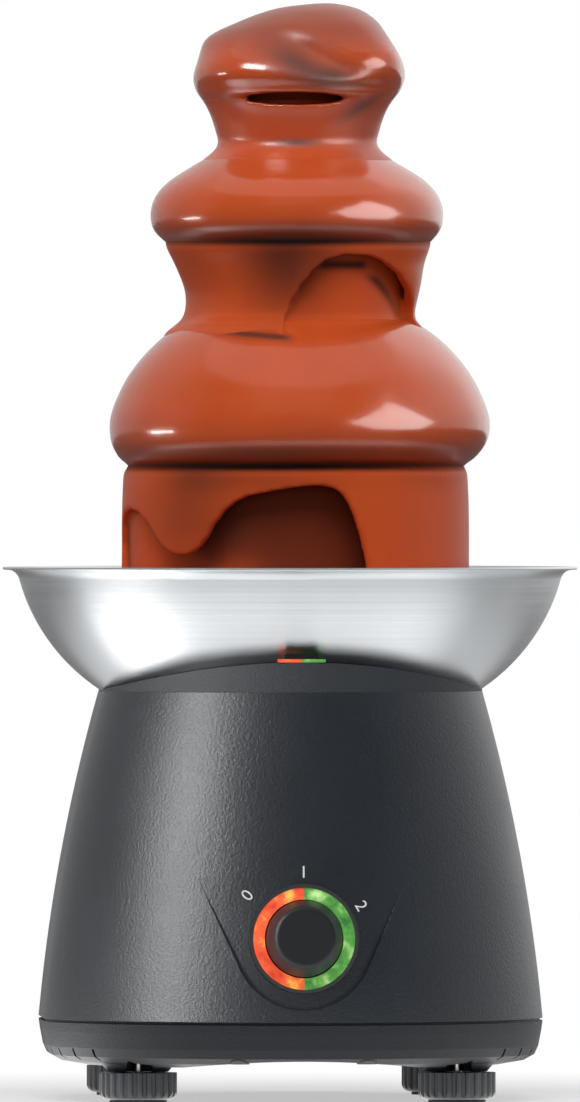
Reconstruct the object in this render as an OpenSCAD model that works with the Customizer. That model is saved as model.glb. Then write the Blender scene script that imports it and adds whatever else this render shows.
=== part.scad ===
// Three tier chocolate fountain for the table: a steel bowl on an oval base, with an auger in a tower.
// Millimetres. The tower stands on the Z axis, the table is at zero and the dial faces minus Y.

/* [Feet] */
// Radius of a levelling wheel over its ribs
foot_r = 13.5; // [11:0.5:15]
// Height of a levelling wheel
foot_h = 9.5; // [8:0.5:12]
// Ribs round a levelling wheel
foot_ribs = 24; // [16:1:28]
// Rounding of a wheel's lower edge
foot_round = 3; // [1:0.5:4]
// Radius of the rubber sole under a wheel
sole_r = 10; // [7:0.5:10]
// Thickness of the rubber sole
sole_t = 1; // [0.6:0.1:2]
// Radius of a levelling screw
foot_screw_r = 2; // [1.5:0.1:3]
// How far a foot can be screwed down
foot_travel = 5; // [3:0.5:6]
// Distance of the feet from the middle, sideways
foot_x = 55.5; // [50:0.5:58]
// Distance of the feet from the middle, front to back
foot_y = 56; // [50:0.5:60]

/* [Base] */
// Height of the bottom cover's underside over the table
stand_h = 12.7; // [12:0.1:16]
// Height of the bottom cover
cover_h = 16.1; // [14:0.1:20]
// Height of the main housing between its two seams
housing_h = 114.1; // [106:0.1:130]
// How far the bowl's side stands out of the housing at the upper seam
bowl_over = 0.2; // [0.1:0.1:1]
// How much wider each side of the base is at the lower seam than at the upper one
flare = 21.1; // [18:0.1:25]
// Radius of the bulge of the sides, seen from the front
side_curve_r = 632; // [400:1:900]
// Width of the top cover in front of the bowl, at its crest
front_strip = 7.7; // [6:0.1:10]
// Wall of the plastic housing
wall = 2.4; // [2:0.1:3]
// Rise of the arch under the front edge of the bottom cover
arch_rise = 2.5; // [1:0.1:4]
// Width of a vent slot
vent_w = 1.2; // [0.8:0.1:2]
// Vent slots round each end of a side
vents = 4; // [2:1:5]

/* [Top cover] */
// Rise of the arched front of the top cover over the upper seam
crest_h = 10.4; // [7:0.1:12]
// Width of the lamp hood
hood_w = 12.6; // [9:0.1:16]
// Height of the lamp hood with its lenses
hood_h = 3.1; // [2.4:0.1:4]

/* [Dial] */
// Height of the dial over the table
dial_z = 57.5; // [55:0.5:68]
// Radius of the ring round the knob
dial_r = 19; // [18:0.1:21]
// Radius of the knob at its base
knob_r = 13.2; // [11:0.1:13.2]
// Radius of the knob's front face
knob_face_r = 11; // [9.5:0.1:11.5]
// Length of the knob
knob_h = 14; // [11:0.5:17]
// Radius of the pocket under the dial
pocket_r = 24.5; // [23:0.1:26]
// Angle that the dial leans back
dial_lean = 3.5; // [0:0.5:6]

/* [Bowl] */
// Radius of the bowl over its lip
bowl_r = 100.6; // [96:0.1:108]
// Height of the bowl
bowl_h = 48.6; // [44:0.1:54]
// Radius of the bowl's flat floor
bowl_floor_r = 56.3; // [53:0.1:60]
// Radius of the curve of the bowl's side
bowl_curve_r = 68; // [60:0.5:90]
// Thickness of the bowl's sheet
sheet = 1; // [0.6:0.1:1.4]
// How far the bowl's floor sits under the upper seam
bowl_sink = 5.4; // [4:0.1:7]
// Depth of the chocolate in the bowl
pool_h = 30.5; // [18:0.5:36]

/* [Tower] */
// Outer radius of the tower's tube
tube_r = 17; // [16:0.1:18.5]
// Wall of the tower's tube
tube_wall = 1.8; // [1.4:0.1:2.2]
// Radius of the auger over its flight
auger_r = 14.5; // [12:0.1:14.8]
// Rise of the auger in one turn
auger_pitch = 28; // [20:1:36]
// Thickness of the auger's flight
flight_t = 2; // [1.4:0.1:3]
// Height of the lowest lip of chocolate over the bowl's floor
lower_h = 97.5; // [88:0.5:104]
// Height of the middle lip over the lowest one
middle_h = 74; // [70:0.5:80]
// Height of the top lip over the middle one
top_h = 50; // [46:0.5:56]
// Radius of the lowest lip
lower_r = 66.6; // [60:0.1:72]
// Radius of the middle lip
middle_r = 51.3; // [47:0.1:55]
// Radius of the top lip
top_r = 36.8; // [34.5:0.1:40]
// Thickness of the chocolate that runs over a tier
film = 3.5; // [2.5:0.1:4.5]

/* [Drive] */
// Pitch radius of the gear on the output shaft
output_r = 30; // [28:0.5:31]
// Teeth of the gear on the output shaft
output_teeth = 60; // [56:4:64]
// Teeth of the large gear on the idler
idler_teeth = 48; // [44:4:52]
// Teeth of both pinions
pinion_teeth = 12; // [12:1:14]
// Thickness of a gear
gear_t = 6; // [4:0.5:8]
// Radius of the output shaft
shaft_r = 4; // [3:0.1:5]
// Side of the motor's square iron core
core_w = 58; // [50:1:62]
// Thickness of the motor's iron core
core_h = 22; // [16:1:28]
// Depth of the gear deck under the bowl's floor
deck_drop = 57.9; // [54:0.1:62]

/* [Heater] */
// Radius of the aluminium plate under the bowl
heater_r = 44; // [36:0.5:47]
// Thickness of the aluminium plate
heater_t = 6; // [4:0.5:8]
// Radius of the heating tube
element_r = 3.3; // [2.5:0.1:4]

/* [Hidden] */
$fn = 180;
fine = 720;
rough = 48;

// Clearances
over = 1;
seat_gap = 0.3;
fit_gap = 0.1;
run_gap = 0.05;
hair = 0.02;

// Heights of the stack
wheel_top = sole_t + foot_h;
seam_z = stand_h + cover_h;
top_z = seam_z + housing_h;
floor_t = wall;
floor_z = stand_h + arch_rise + floor_t;
bowl_z = top_z - bowl_sink;
lip_z = bowl_z + bowl_h;
pool_z = bowl_z + pool_h;

// Base details
groove = 1;
corner_shares = [0.995, 0.983, 0.967, 0.925, 0.83];
corner_rise_shares = [0.74, 0.4, 0.21, 0.087, 0];
vent_first_deg = 5.8;
vent_step_deg = 9.05;
vent_row = 13.2;
vent_in = 5;
vent_rise_share = 0.38;
boss_r = 10.5;
boss_flare_r = 14.5;
boss_flare_h = 4.5;
notch_w = 9;
notch_h = 4;
insert_r = 4;
insert_h = 7;
housing_screw_r = 1.6;
housing_screw_head_r = 3.4;
housing_screw_head_t = 2;
housing_screw_l = 26;
screw_boss_r = 4.6;
screw_boss_h = 24;
screw_turn = 74;
screw_place_share = 0.915;
rib_depth = 0.9;
rib_w = 2.2;
gland_r = 7;
gland_l = 10;
gland_flange_r = 10;
gland_flange_t = 3;
gland_z = 44;
cable_r = 3.2;

// Dial details
pocket_lean = 2.5;
pocket_top_z = 80;
pocket_spread_deg = 24;
seat_depth = 4.4;
pad_t = 3;
bezel_t = 5.6;
bezel_rim = 1.3;
bezel_base_t = 2.6;
ring_in_r = 13.7;
ring_drop = 0.5;
knob_lift = 3.2;
knob_wall = 2;
knob_round = 1.6;
knob_plug_r = 5.5;
switch_shaft_r = 3;
switch_bush_r = 5;
switch_bush_l = 6;
switch_w = 28;
switch_t = 17;
nut_r = 8;
nut_t = 2.4;

// Lamp details
hood_d = 2.8;
lens_w = 8.2;
lens_h = 1.1;
lens_gap = 0.2;
hood_taper = 1;
arch_edge = 0.6;

// Bowl details
lip_curve_r = 4.2;
lip_start_drop = 4.1;
lip_edge_share = 0.36;
bowl_hole_r = 9;

// Tower details
bush_r = bowl_hole_r - fit_gap;
bush_flange_r = 14;
bush_flange_t = 2;
bush_nut_r = 13;
bush_nut_t = 4.5;
seat_r = 26;
seat_t = 3;
seat_collar_t = 2.3;
seat_collar_h = 3.5;
tube_top_drop = 7;
inlet_w = 15;
inlet_h = 12;
inlet_lift = 6;
inlets = 3;
auger_core_r = 5;
auger_hub_r = 7.5;
auger_hub_h = 13;
auger_foot_lift = 5;
auger_top_drop = 3;
auger_steps = 20;
tier_t = 2;
hub_t = 2.2;
hub_h = 14;
curtain_lower_r = 60.6;
curtain_middle_r = 40.2;
curtain_top_r = 27.4;
dome_lower = 38;
dome_middle = 23.5;
dome_top = 24.6;
under_lower = 14.5;
waist_neck = 6;
top_neck = 1.5;
cap_hollow = 5;
front_gap_w = 52;
front_gap_turn = 0;
front_gap_drop = 20.3;
side_gap_w = 46;
side_gap_turn = -68;
side_gap_drop = 29;
waist_gap_w = 48;
waist_gap_turn = 36;
waist_gap_h = 20.2;
crown_drop = 3;
crown_rise = 14;
tier_dome_shares = [[0.62, 1], [0.72, 0.84], [0.85, 0.6], [0.94, 0.38], [0.987, 0.17], [1, 0]];
cap_dome_shares = [[0.3, 0.975], [0.53, 0.86], [0.7, 0.69], [0.8, 0.52], [0.89, 0.35], [0.96, 0.17], [1, 0]];
lower_under_shares = [[0.95, 0.25], [0.75, 0.5], [0.4, 0.75], [0.08, 0.95]];
middle_under_shares = [[0.93, 0.14], [0.69, 0.28], [0.47, 0.42], [0.3, 0.56], [0.17, 0.7], [0.05, 0.9]];
cap_hollow_shares = [[0.7, 1], [0.9, 0.8], [1, 0]];
top_under_shares = [[0.98, 0.16], [0.79, 0.33], [0.46, 0.5], [0.25, 0.66], [0.1, 0.86]];

// Drive details
gear_gap = 2;
tray_t = 2.4;
tray_wall = 2;
gear_room = 2.2;
motor_shaft_r = 2.5;
idler_pin_r = 2.5;
idler_turn = 40;
backlash = 0.3;
pressure = 20;
tip_share = 0.95;
root_share = 1.2;
bracket_t = 2;
bracket_w = 98;
bracket_d = 106;
bracket_shift = 16;
post_r = 5;
post_screw_r = 1.8;
post_screw_head_r = 3.6;
post_screw_l = 12;
rotor_gap = 0.4;
rotor_r = 14;
rotor_over = 2;
core_hang = 6;
coil_t = 9;
coil_l = 30;
frame_t = 3;
frame_w = 16;
thermostat_r = 6;
thermostat_h = 9;
sensor_gap = 0.8;
fuse_r = 3;
fuse_l = 16;
element_turn_r = 30;
element_open_deg = 50;
terminal_r = 3.8;
terminal_l = 12;

// Worked out places
deck_z = bowl_z - deck_drop;
tooth = 2 * output_r / output_teeth;
tray_z = deck_z + bracket_t;
gear1_z = tray_z + tray_t + gear_gap;
gear2_z = gear1_z + gear_t + gear_gap;
cover_z = gear2_z + gear_t + gear_gap;
idler_r = tooth * idler_teeth / 2;
pinion_r = tooth * pinion_teeth / 2;
idler_reach = output_r + pinion_r;
motor_reach = idler_r + pinion_r;
idler_at = idler_reach * [cos(idler_turn), sin(idler_turn)];
motor_at = [0, idler_at[1] + sqrt(pow(motor_reach, 2) - pow(idler_at[0], 2))];
auger_z = bowl_z + sheet + auger_foot_lift;
tube_z = bowl_z + sheet + seat_t;
lower_lip_z = bowl_z + lower_h;
middle_lip_z = lower_lip_z + middle_h;
top_lip_z = middle_lip_z + top_h;
under_middle = middle_h - dome_lower - waist_neck;
under_top = top_h - dome_middle - top_neck;
lower_top_z = lower_lip_z + dome_lower;
middle_top_z = middle_lip_z + dome_middle;
tube_top_z = top_lip_z - tube_top_drop;
auger_top_z = tube_top_z - auger_top_drop;
tube_in_r = tube_r - tube_wall;
post_x = bracket_w / 2 - post_r;
post_y = bracket_d / 2 - post_r;
posts = [for (side = [-1, 1], end = [-1, 1]) [side * post_x, bracket_shift + end * post_y]];

// Centre of the circle of radius r that bulges outwards on the way down from a to b
function arc_centre(a, b, r) =
    let (half = norm(b - a) / 2, dir = (b - a) / norm(b - a))
    (a + b) / 2 - [-dir[1], dir[0]] * sqrt(r * r - half * half);
crest_z = top_z + crest_h;
lip_in_r = lip_curve_r + sheet;
lip_edge = lip_curve_r * lip_edge_share;
lip_start = [bowl_r - lip_edge - lip_curve_r, lip_z - lip_start_drop];
bowl_c = arc_centre(lip_start, [bowl_floor_r, bowl_z], bowl_curve_r);
function bowl_out_r(z) = bowl_c[0] + sqrt(pow(bowl_curve_r, 2) - pow(z - bowl_c[1], 2));
neck_r = bowl_out_r(top_z) - bowl_over;
base_r = neck_r + flare;
stretch = bowl_out_r(crest_z) - neck_r + front_strip;
side_c = arc_centre([neck_r, top_z], [base_r, seam_z], side_curve_r);
function side_r(z) = side_c[0] + sqrt(pow(side_curve_r, 2) - pow(z - side_c[1], 2));
front_y = side_r(dial_z) + stretch;
arch_r = (pow(neck_r, 2) + pow(crest_h - arch_edge, 2)) / (2 * (crest_h - arch_edge));

// A smooth run of points through the given ones
function smooth(p, n = 3) = concat([for (i = [0 : len(p) - 2], k = [0 : n - 1])
    let (a = p[max(i - 1, 0)], b = p[i], c = p[i + 1], d = p[min(i + 2, len(p) - 1)], t = k / n)
    (2 * b + (c - a) * t + (2 * a - 5 * b + 4 * c - d) * t * t + (3 * b - a - 3 * c + d) * t * t * t) / 2],
    [p[len(p) - 1]]);
function turned_back(p) = [for (i = [len(p) - 1 : -1 : 0]) p[i]];
function dome(lip_r, z, rise, shares) = [for (s = shares) [s[0] * lip_r, z + s[1] * rise]];
function under(lip_r, z, drop, curtain_r, shares) =
    [for (s = shares) [curtain_r + s[0] * (lip_r - curtain_r), z - s[1] * drop]];

module ring(r_out, r_in, h) {
    difference() {
        cylinder(r = r_out, h = h);
        translate([0, 0, -over]) cylinder(r = r_in, h = h + 2 * over);
    }
}
module up(z) { translate([0, 0, z]) children(); }

// A profile carried round the base: half a turn at the front and the back, and straight between them
module oval() {
    for (end = [0, 1]) rotate(180 * end) translate([0, stretch, 0])
        rotate_extrude(angle = 180) children();
    for (side = [0, 1]) mirror([side, 0, 0]) rotate([90, 0, 0])
        linear_extrude(2 * stretch, center = true) children();
}
// The body of the base, drawn in by inset, from one height to another
module base_body(inset, from_z, to_z) {
    oval() intersection() {
        translate(side_c) circle(side_curve_r - inset, $fn = fine);
        translate([0, from_z]) square([base_r + over, to_z - from_z]);
    }
}

// The room that the bowl takes, grown by a clearance
module bowl_room(gap) {
    rotate_extrude() {
        intersection() {
            translate(bowl_c) circle(bowl_curve_r + gap, $fn = fine);
            translate([0, bowl_z - gap]) square([bowl_r, bowl_h]);
        }
    }
}

// Feet
module foot_place(side, end) { translate([side * foot_x, end * foot_y, 0]) children(); }
module foot_sole(side, end) {
    color("dimgray") foot_place(side, end) cylinder(r = sole_r, h = sole_t);
}
module foot_wheel(side, end) {
    color("#2b2c2f") foot_place(side, end) difference() {
        intersection() {
            up(sole_t) linear_extrude(foot_h) {
                circle(foot_r - rib_depth);
                for (i = [0 : foot_ribs - 1]) rotate(i * 360 / foot_ribs)
                    translate([foot_r - rib_w / 2, 0]) circle(rib_w / 2, $fn = rough);
            }
            up(sole_t) rotate_extrude() {
                square([foot_r - foot_round, foot_h]);
                translate([0, foot_round]) square([foot_r, foot_h - foot_round]);
                translate([foot_r - foot_round, foot_round]) circle(foot_round);
            }
        }
        up(sole_t + foot_round) cylinder(r = foot_screw_r + hair, h = foot_h);
    }
}
module foot_screw(side, end) {
    color("silver") foot_place(side, end) up(sole_t + foot_round)
        cylinder(r = foot_screw_r, h = wheel_top + seat_gap + boss_flare_h + insert_h - sole_t - foot_round);
}
module foot_inserts() {
    color("goldenrod") for (side = [-1, 1], end = [-1, 1]) foot_place(side, end)
        up(wheel_top + boss_flare_h)
            ring(insert_r, foot_screw_r + run_gap, insert_h);
}

// Bottom cover: an oval tray with an arched underside, vent slots round its corner and four foot bosses
corner = [for (i = [0 : len(corner_shares) - 1])
    [base_r * corner_shares[i], stand_h + corner_rise_shares[i] * cover_h]];
module foot_boss() {
    up(wheel_top + seat_gap) cylinder(r1 = boss_r, r2 = boss_flare_r, h = boss_flare_h);
    up(wheel_top + seat_gap) cylinder(r = boss_r, h = boss_flare_h + insert_h + floor_t);
}
module vent() {
    translate([base_r - vent_in, -vent_w / 2, stand_h - over])
        cube([base_r, vent_w, vent_rise_share * cover_h + over]);
}
module bottom_cover() {
    color("#303236") difference() {
        union() {
            difference() {
                oval() polygon(concat([[0, stand_h], [0, seam_z], [base_r - groove, seam_z],
                    [base_r - groove, seam_z - groove], [base_r, seam_z - groove]], corner));
                oval() translate([0, floor_z]) square([base_r - 2 * wall, cover_h]);
                up(stand_h + arch_rise - arch_under_r) rotate([90, 0, 0])
                    cylinder(r = arch_under_r, h = 2 * (base_r + stretch), center = true, $fn = fine);
                for (half = [0, 1]) rotate(180 * half) {
                    for (i = [0 : vents - 1], end = [-1, 1]) translate([0, end * stretch, 0])
                        rotate(end * (vent_first_deg + i * vent_step_deg)) vent();
                    for (i = [-1 : 1]) translate([0, i * vent_row, 0]) vent();
                }
            }
            for (side = [-1, 1], end = [-1, 1]) foot_place(side, end) foot_boss();
            for (p = posts) translate([p[0], p[1], floor_z - over])
                cylinder(r = post_r, h = deck_z - floor_z + over);
        }
        for (side = [-1, 1], end = [-1, 1]) {
            foot_place(side, end) {
                up(stand_h - foot_h) cylinder(r = foot_screw_r + seat_gap, h = foot_h * 3);
                up(wheel_top + boss_flare_h) cylinder(r = insert_r + hair, h = foot_h * 3);
                translate([-notch_w / 2, end > 0 ? 0 : -2 * boss_r, wheel_top - over])
                    cube([notch_w, 2 * boss_r, over + seat_gap + notch_h]);
            }
        }
        for (p = posts) translate([p[0], p[1], deck_z - post_screw_l])
            cylinder(r = post_screw_r + hair, h = post_screw_l + over);
        for (turn = screw_turns) screw_place(turn) {
            cylinder(r = housing_screw_r + fit_gap, h = seam_z + over);
            cylinder(r = housing_screw_head_r + fit_gap, h = screw_seat_z);
        }
    }
}
arch_under_r = pow(foot_x - boss_flare_r, 2) / (2 * arch_rise);
screw_turns = [screw_turn, 180 - screw_turn, -screw_turn, screw_turn - 180];
screw_seat_z = floor_z - floor_t + housing_screw_head_t / 2;
module screw_place(turn) {
    r = base_r * screw_place_share;
    translate([r * cos(turn), r * sin(turn) + sign(turn) * stretch, 0]) children();
}
module housing_screws() {
    color("silver") for (turn = screw_turns) screw_place(turn) up(screw_seat_z) {
        cylinder(r = housing_screw_r, h = housing_screw_l);
        up(-housing_screw_head_t) cylinder(r = housing_screw_head_r, h = housing_screw_head_t);
    }
}

// Places on the dial: local Z points out of the housing
module dial_place(lift) {
    translate([0, -(front_y - seat_depth), dial_z]) rotate([90 - dial_lean, 0, 0]) up(lift) children();
}
module leaned_body() {
    pivot_y = side_r(pocket_top_z) + stretch;
    translate([0, -pivot_y, pocket_top_z]) rotate([pocket_lean, 0, 0]) translate([0, pivot_y, -pocket_top_z])
        base_body(0, seam_z - dial_z, top_z + dial_z);
}
module pocket_outline() {
    side = [cos(pocket_spread_deg), -sin(pocket_spread_deg)] * pocket_r;
    reach = pocket_top_z - dial_z + pocket_r;
    spread = [side[0] + tan(pocket_spread_deg) * reach, side[1] + reach];
    circle(pocket_r);
    polygon([side, spread, [-spread[0], spread[1]], [-side[0], side[1]]]);
}
module main_housing() {
    color("#303236") difference() {
        union() {
            difference() {
                base_body(0, seam_z, top_z);
                base_body(wall, seam_z - over, top_z + over);
            }
            intersection() {
                base_body(wall / 2, seam_z, top_z);
                dial_place(-pad_t) cylinder(r = pocket_r + wall, h = 2 * pocket_r);
            }
            intersection() {
                base_body(wall / 2, seam_z, top_z);
                for (turn = screw_turns) screw_place(turn) up(seam_z)
                    cylinder(r = screw_boss_r, h = screw_boss_h);
            }
        }
        difference() {
            translate([0, 0, dial_z]) rotate([90, 0, 0]) linear_extrude(front_y + pocket_r) pocket_outline();
            leaned_body();
        }
        dial_place(0) cylinder(r = dial_r + fit_gap, h = dial_r);
        dial_place(-2 * pad_t) cylinder(r = switch_bush_r + fit_gap, h = 4 * pad_t);
        for (turn = screw_turns) screw_place(turn) up(seam_z - over)
            cylinder(r = housing_screw_r + hair, h = screw_boss_h);
        up(gland_z) rotate([-90, 0, 0]) cylinder(r = gland_r + fit_gap, h = base_r + 2 * stretch);
        bowl_room(seat_gap);
    }
}
module cord_gland() {
    color("#1f2023") translate([0, side_r(gland_z) + stretch, gland_z]) rotate([-90, 0, 0]) {
        up(-2 * wall) ring(gland_r, cable_r, 2 * wall + gland_l);
        up(gland_rise) ring(gland_flange_r, cable_r, gland_flange_t);
    }
}
gland_rise = side_r(gland_z - gland_flange_r) - side_r(gland_z) + hair;

// Top cover: the arched collar in front of and behind the bowl, with the ledge that the bowl rests on
module top_cover() {
    ledge_r = side_r(top_z) - wall - fit_gap;
    color("#2c2e32") difference() {
        union() {
            intersection() {
                oval() translate([0, top_z]) square([neck_r, crest_h + over]);
                up(crest_z - arch_r) rotate([90, 0, 0])
                    cylinder(r = arch_r, h = 2 * (neck_r + 2 * stretch), center = true, $fn = fine);
            }
            oval() translate([0, bowl_z - wall]) square([ledge_r, bowl_sink + wall]);
        }
        bowl_room(seat_gap);
        up(bowl_z - 2 * wall) cylinder(r = heater_r + wall, h = crest_h + bowl_sink + 3 * wall);
    }
}
lens_y = stretch + neck_r - hood_d;
module lamp_hood() {
    color("#1b1c1f") difference() {
        translate([0, -lens_y, crest_z + hair + lens_h]) rotate([90, 0, 0]) linear_extrude(hood_d)
            polygon([[-hood_w / 2, 0], [hood_w / 2, 0], [hood_w / 2, hood_h - lens_h - hood_taper],
                [hood_w / 2 - hood_taper, hood_h - lens_h], [hood_taper - hood_w / 2, hood_h - lens_h],
                [-hood_w / 2, hood_h - lens_h - hood_taper]]);
        bowl_room(seat_gap);
    }
}
module lamp_lens(side) {
    difference() {
        translate([side > 0 ? lens_gap / 2 : -lens_w - lens_gap / 2, -lens_y - hood_d, crest_z + hair])
            cube([lens_w, hood_d, lens_h]);
        bowl_room(seat_gap);
    }
}
module lamp_lens_red() { color("orangered") lamp_lens(-1); }
module lamp_lens_green() { color("limegreen") lamp_lens(1); }

// Dial
module dial_bezel() {
    color("#26272a") dial_place(0) {
        ring(dial_r, ring_in_r, bezel_base_t);
        ring(dial_r, dial_r - bezel_rim, bezel_t);
    }
}
module dial_half(turn) {
    h = bezel_t - ring_drop - bezel_base_t;
    dial_place(bezel_base_t) rotate(turn) rotate_extrude(angle = 180)
        translate([ring_in_r, 0]) square([dial_r - bezel_rim - fit_gap - ring_in_r, h]);
}
module dial_ring_red() { color("orangered") dial_half(90); }
module dial_ring_green() { color("limegreen") dial_half(-90); }
module switch_nut() {
    color("silver") dial_place(0) difference() {
        cylinder(r = nut_r, h = nut_t, $fn = 6);
        up(-over) cylinder(r = switch_bush_r + run_gap, h = nut_t + 2 * over);
    }
}
module rotary_switch() {
    color("#d8d2c0") difference() {
        dial_place(-pad_t) {
            translate([-switch_w / 2, -switch_w / 2, -switch_t]) cube([switch_w, switch_w, switch_t]);
            cylinder(r = switch_bush_r, h = switch_bush_l);
        }
        dial_place(-pad_t - switch_t / 2)
            cylinder(r = switch_shaft_r + run_gap, h = switch_t + switch_bush_l);
    }
}
module switch_shaft() {
    color("silver") dial_place(-pad_t - switch_t / 2)
        cylinder(r = switch_shaft_r, h = pad_t + switch_t / 2 + knob_lift + knob_h - knob_wall - fit_gap);
}
module knob() {
    color("#232427") difference() {
        dial_place(knob_lift) rotate_extrude() {
            polygon([[0, 0], [knob_r, 0], [knob_r, knob_h / 3], [knob_face_r, knob_h - knob_round],
                [knob_face_r - knob_round, knob_h], [0, knob_h]]);
            translate([knob_face_r - knob_round, knob_h - knob_round]) circle(knob_round);
        }
        difference() {
            dial_place(knob_lift - over)
                cylinder(r = knob_face_r - knob_wall, h = knob_h - knob_wall - knob_round + over);
            dial_place(knob_lift) cylinder(r = knob_plug_r, h = knob_h);
        }
        dial_place(knob_lift - over) cylinder(r = switch_shaft_r + hair, h = knob_h + over - knob_wall);
    }
}

// Motor and gears
module motor_place() { translate([motor_at[0], motor_at[1], 0]) children(); }
module idler_place() { translate([idler_at[0], idler_at[1], 0]) children(); }
module motor_bracket() {
    color("lightsteelblue") difference() {
        translate([-bracket_w / 2, bracket_shift - bracket_d / 2, deck_z])
            cube([bracket_w, bracket_d, bracket_t]);
        for (p = posts) translate([p[0], p[1], deck_z - over])
            cylinder(r = post_screw_r + fit_gap, h = bracket_t + 2 * over);
        motor_place() up(deck_z - over) cylinder(r = motor_shaft_r + seat_gap, h = bracket_t + 2 * over);
    }
}
module bracket_screws() {
    color("silver") for (p = posts) translate([p[0], p[1], deck_z + bracket_t]) {
        up(-post_screw_l) cylinder(r = post_screw_r, h = post_screw_l);
        cylinder(r = post_screw_head_r, h = post_screw_r);
    }
}
core_z = deck_z - core_hang - core_h;
module motor_stator() {
    color("slategray") motor_place() difference() {
        translate([-core_w / 2, -core_w / 2, core_z]) cube([core_w, core_w, core_h]);
        up(core_z - over) cylinder(r = rotor_r + rotor_gap, h = core_h + 2 * over);
        for (side = [-1, 1]) translate([side * (core_w / 2 - coil_t) - (side > 0 ? 0 : coil_t / 2),
            -coil_l / 2, core_z - over]) cube([coil_t / 2, coil_l, core_h + 2 * over]);
    }
}
module motor_coil() {
    color("chocolate") motor_place() for (side = [-1, 1]) difference() {
        translate([side > 0 ? core_w / 2 - coil_t + fit_gap : -core_w / 2 - coil_t / 2 + fit_gap,
            -coil_l / 2 + fit_gap, core_z - coil_t / 2])
            cube([coil_t * 1.5 - 2 * fit_gap, coil_l - 2 * fit_gap, core_h + coil_t]);
        translate([side > 0 ? core_w / 2 - coil_t / 2 - fit_gap : -core_w / 2 - fit_gap,
            -coil_l / 2 - over, core_z - fit_gap])
            cube([coil_t / 2 + 2 * fit_gap, coil_l + 2 * over, core_h + 2 * fit_gap]);
    }
}
module motor_frame() {
    bridge_z = core_z - core_hang - frame_t;
    color("silver") motor_place() difference() {
        translate([-frame_w / 2, -core_w / 2 - frame_t, bridge_z])
            cube([frame_w, core_w + 2 * frame_t, deck_z - bridge_z]);
        translate([-frame_w / 2 - over, -core_w / 2, bridge_z + frame_t])
            cube([frame_w + 2 * over, core_w, deck_z - bridge_z]);
        up(bridge_z - over) cylinder(r = motor_shaft_r + run_gap, h = frame_t + 2 * over);
    }
}
module motor_rotor() {
    color("gray") motor_place() {
        up(core_z - rotor_over / 2) cylinder(r = rotor_r, h = core_h + rotor_over);
        up(core_z - core_hang - frame_t)
            cylinder(r = motor_shaft_r, h = gear1_z + gear_t - core_z + core_hang + frame_t);
    }
}

// Gear outline with involute flanks
function involute(base, a) = base * [cos(a) + a * PI / 180 * sin(a), sin(a) - a * PI / 180 * cos(a)];
function turn_by(p, a) = [p[0] * cos(a) - p[1] * sin(a), p[0] * sin(a) + p[1] * cos(a)];
function roll_to(base, r) = sqrt(max(0, pow(r / base, 2) - 1)) * 180 / PI;
module gear_outline(teeth) {
    pitch_r = tooth * teeth / 2;
    base = pitch_r * cos(pressure);
    tip_r = pitch_r + tooth * tip_share;
    root_r = pitch_r - tooth * root_share;
    start_r = max(base, root_r + hair);
    roll = roll_to(base, pitch_r);
    flank = roll - atan2(roll * PI / 180, 1);
    half = 90 / teeth - (backlash / 2) / pitch_r * 90 / PI + flank;
    polygon([for (i = [0 : teeth - 1], s = [-1, 1], k = [0 : 3])
        let (
            n = s < 0 ? k : 3 - k,
            r = n == 0 ? root_r : start_r + (tip_r - start_r) * (n - 1) / 2,
            a = roll_to(base, max(r, base)),
            p = n == 0 ? [root_r, 0] : involute(base, a))
        turn_by([p[0], -s * p[1]], i * 360 / teeth + s * half)]);
}
module gear(teeth, bore, h) {
    difference() {
        linear_extrude(h) gear_outline(teeth);
        up(-over) cylinder(r = bore, h = h + 2 * over);
    }
}
module motor_pinion() {
    to_idler = atan2(idler_at[1] - motor_at[1], idler_at[0] - motor_at[0]);
    color("goldenrod") motor_place() up(gear1_z) rotate(to_idler)
        gear(pinion_teeth, motor_shaft_r + hair, gear_t);
}
module idler_gear() {
    to_motor = atan2(motor_at[1] - idler_at[1], motor_at[0] - idler_at[0]);
    color("ivory") idler_place() {
        up(gear1_z) rotate(to_motor + 180 / idler_teeth) gear(idler_teeth, idler_pin_r + run_gap, gear_t);
        up(gear1_z) ring(pinion_r - 2 * tooth, idler_pin_r + run_gap, gear_t + gear_gap + gear_t);
        up(gear2_z) rotate(180 + idler_turn) gear(pinion_teeth, idler_pin_r + run_gap, gear_t);
    }
}
module output_gear() {
    color("ivory") up(gear2_z) rotate(idler_turn + 180 / output_teeth)
        gear(output_teeth, shaft_r + hair, gear_t);
}
module idler_pin() {
    color("silver") idler_place() up(tray_z) cylinder(r = idler_pin_r, h = cover_z - tray_z + tray_t);
}
module tray_outline(grow) {
    circle(output_r + gear_room + grow);
    translate(idler_at) circle(idler_r + gear_room + grow);
    translate(motor_at) circle(pinion_r + 2 * gear_room + grow);
}
module gearbox_housing() {
    color("#c9c9c4") difference() {
        up(tray_z) linear_extrude(cover_z - tray_z) tray_outline(tray_wall);
        up(tray_z + tray_t) linear_extrude(cover_z - tray_z) tray_outline(0);
        up(tray_z - over) cylinder(r = shaft_r + run_gap, h = tray_t + 2 * over);
        idler_place() up(tray_z - over) cylinder(r = idler_pin_r + hair, h = tray_t + 2 * over);
        motor_place() up(tray_z - over) cylinder(r = motor_shaft_r + seat_gap, h = tray_t + 2 * over);
    }
}
module gearbox_cover() {
    color("#bdbdb8") difference() {
        up(cover_z) linear_extrude(tray_t) tray_outline(tray_wall);
        up(cover_z - over) cylinder(r = shaft_r + run_gap, h = tray_t + 2 * over);
        idler_place() up(cover_z - over) cylinder(r = idler_pin_r + hair, h = tray_t + 2 * over);
    }
}
shaft_top_z = auger_z + auger_hub_h - 2 * over;
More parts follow.
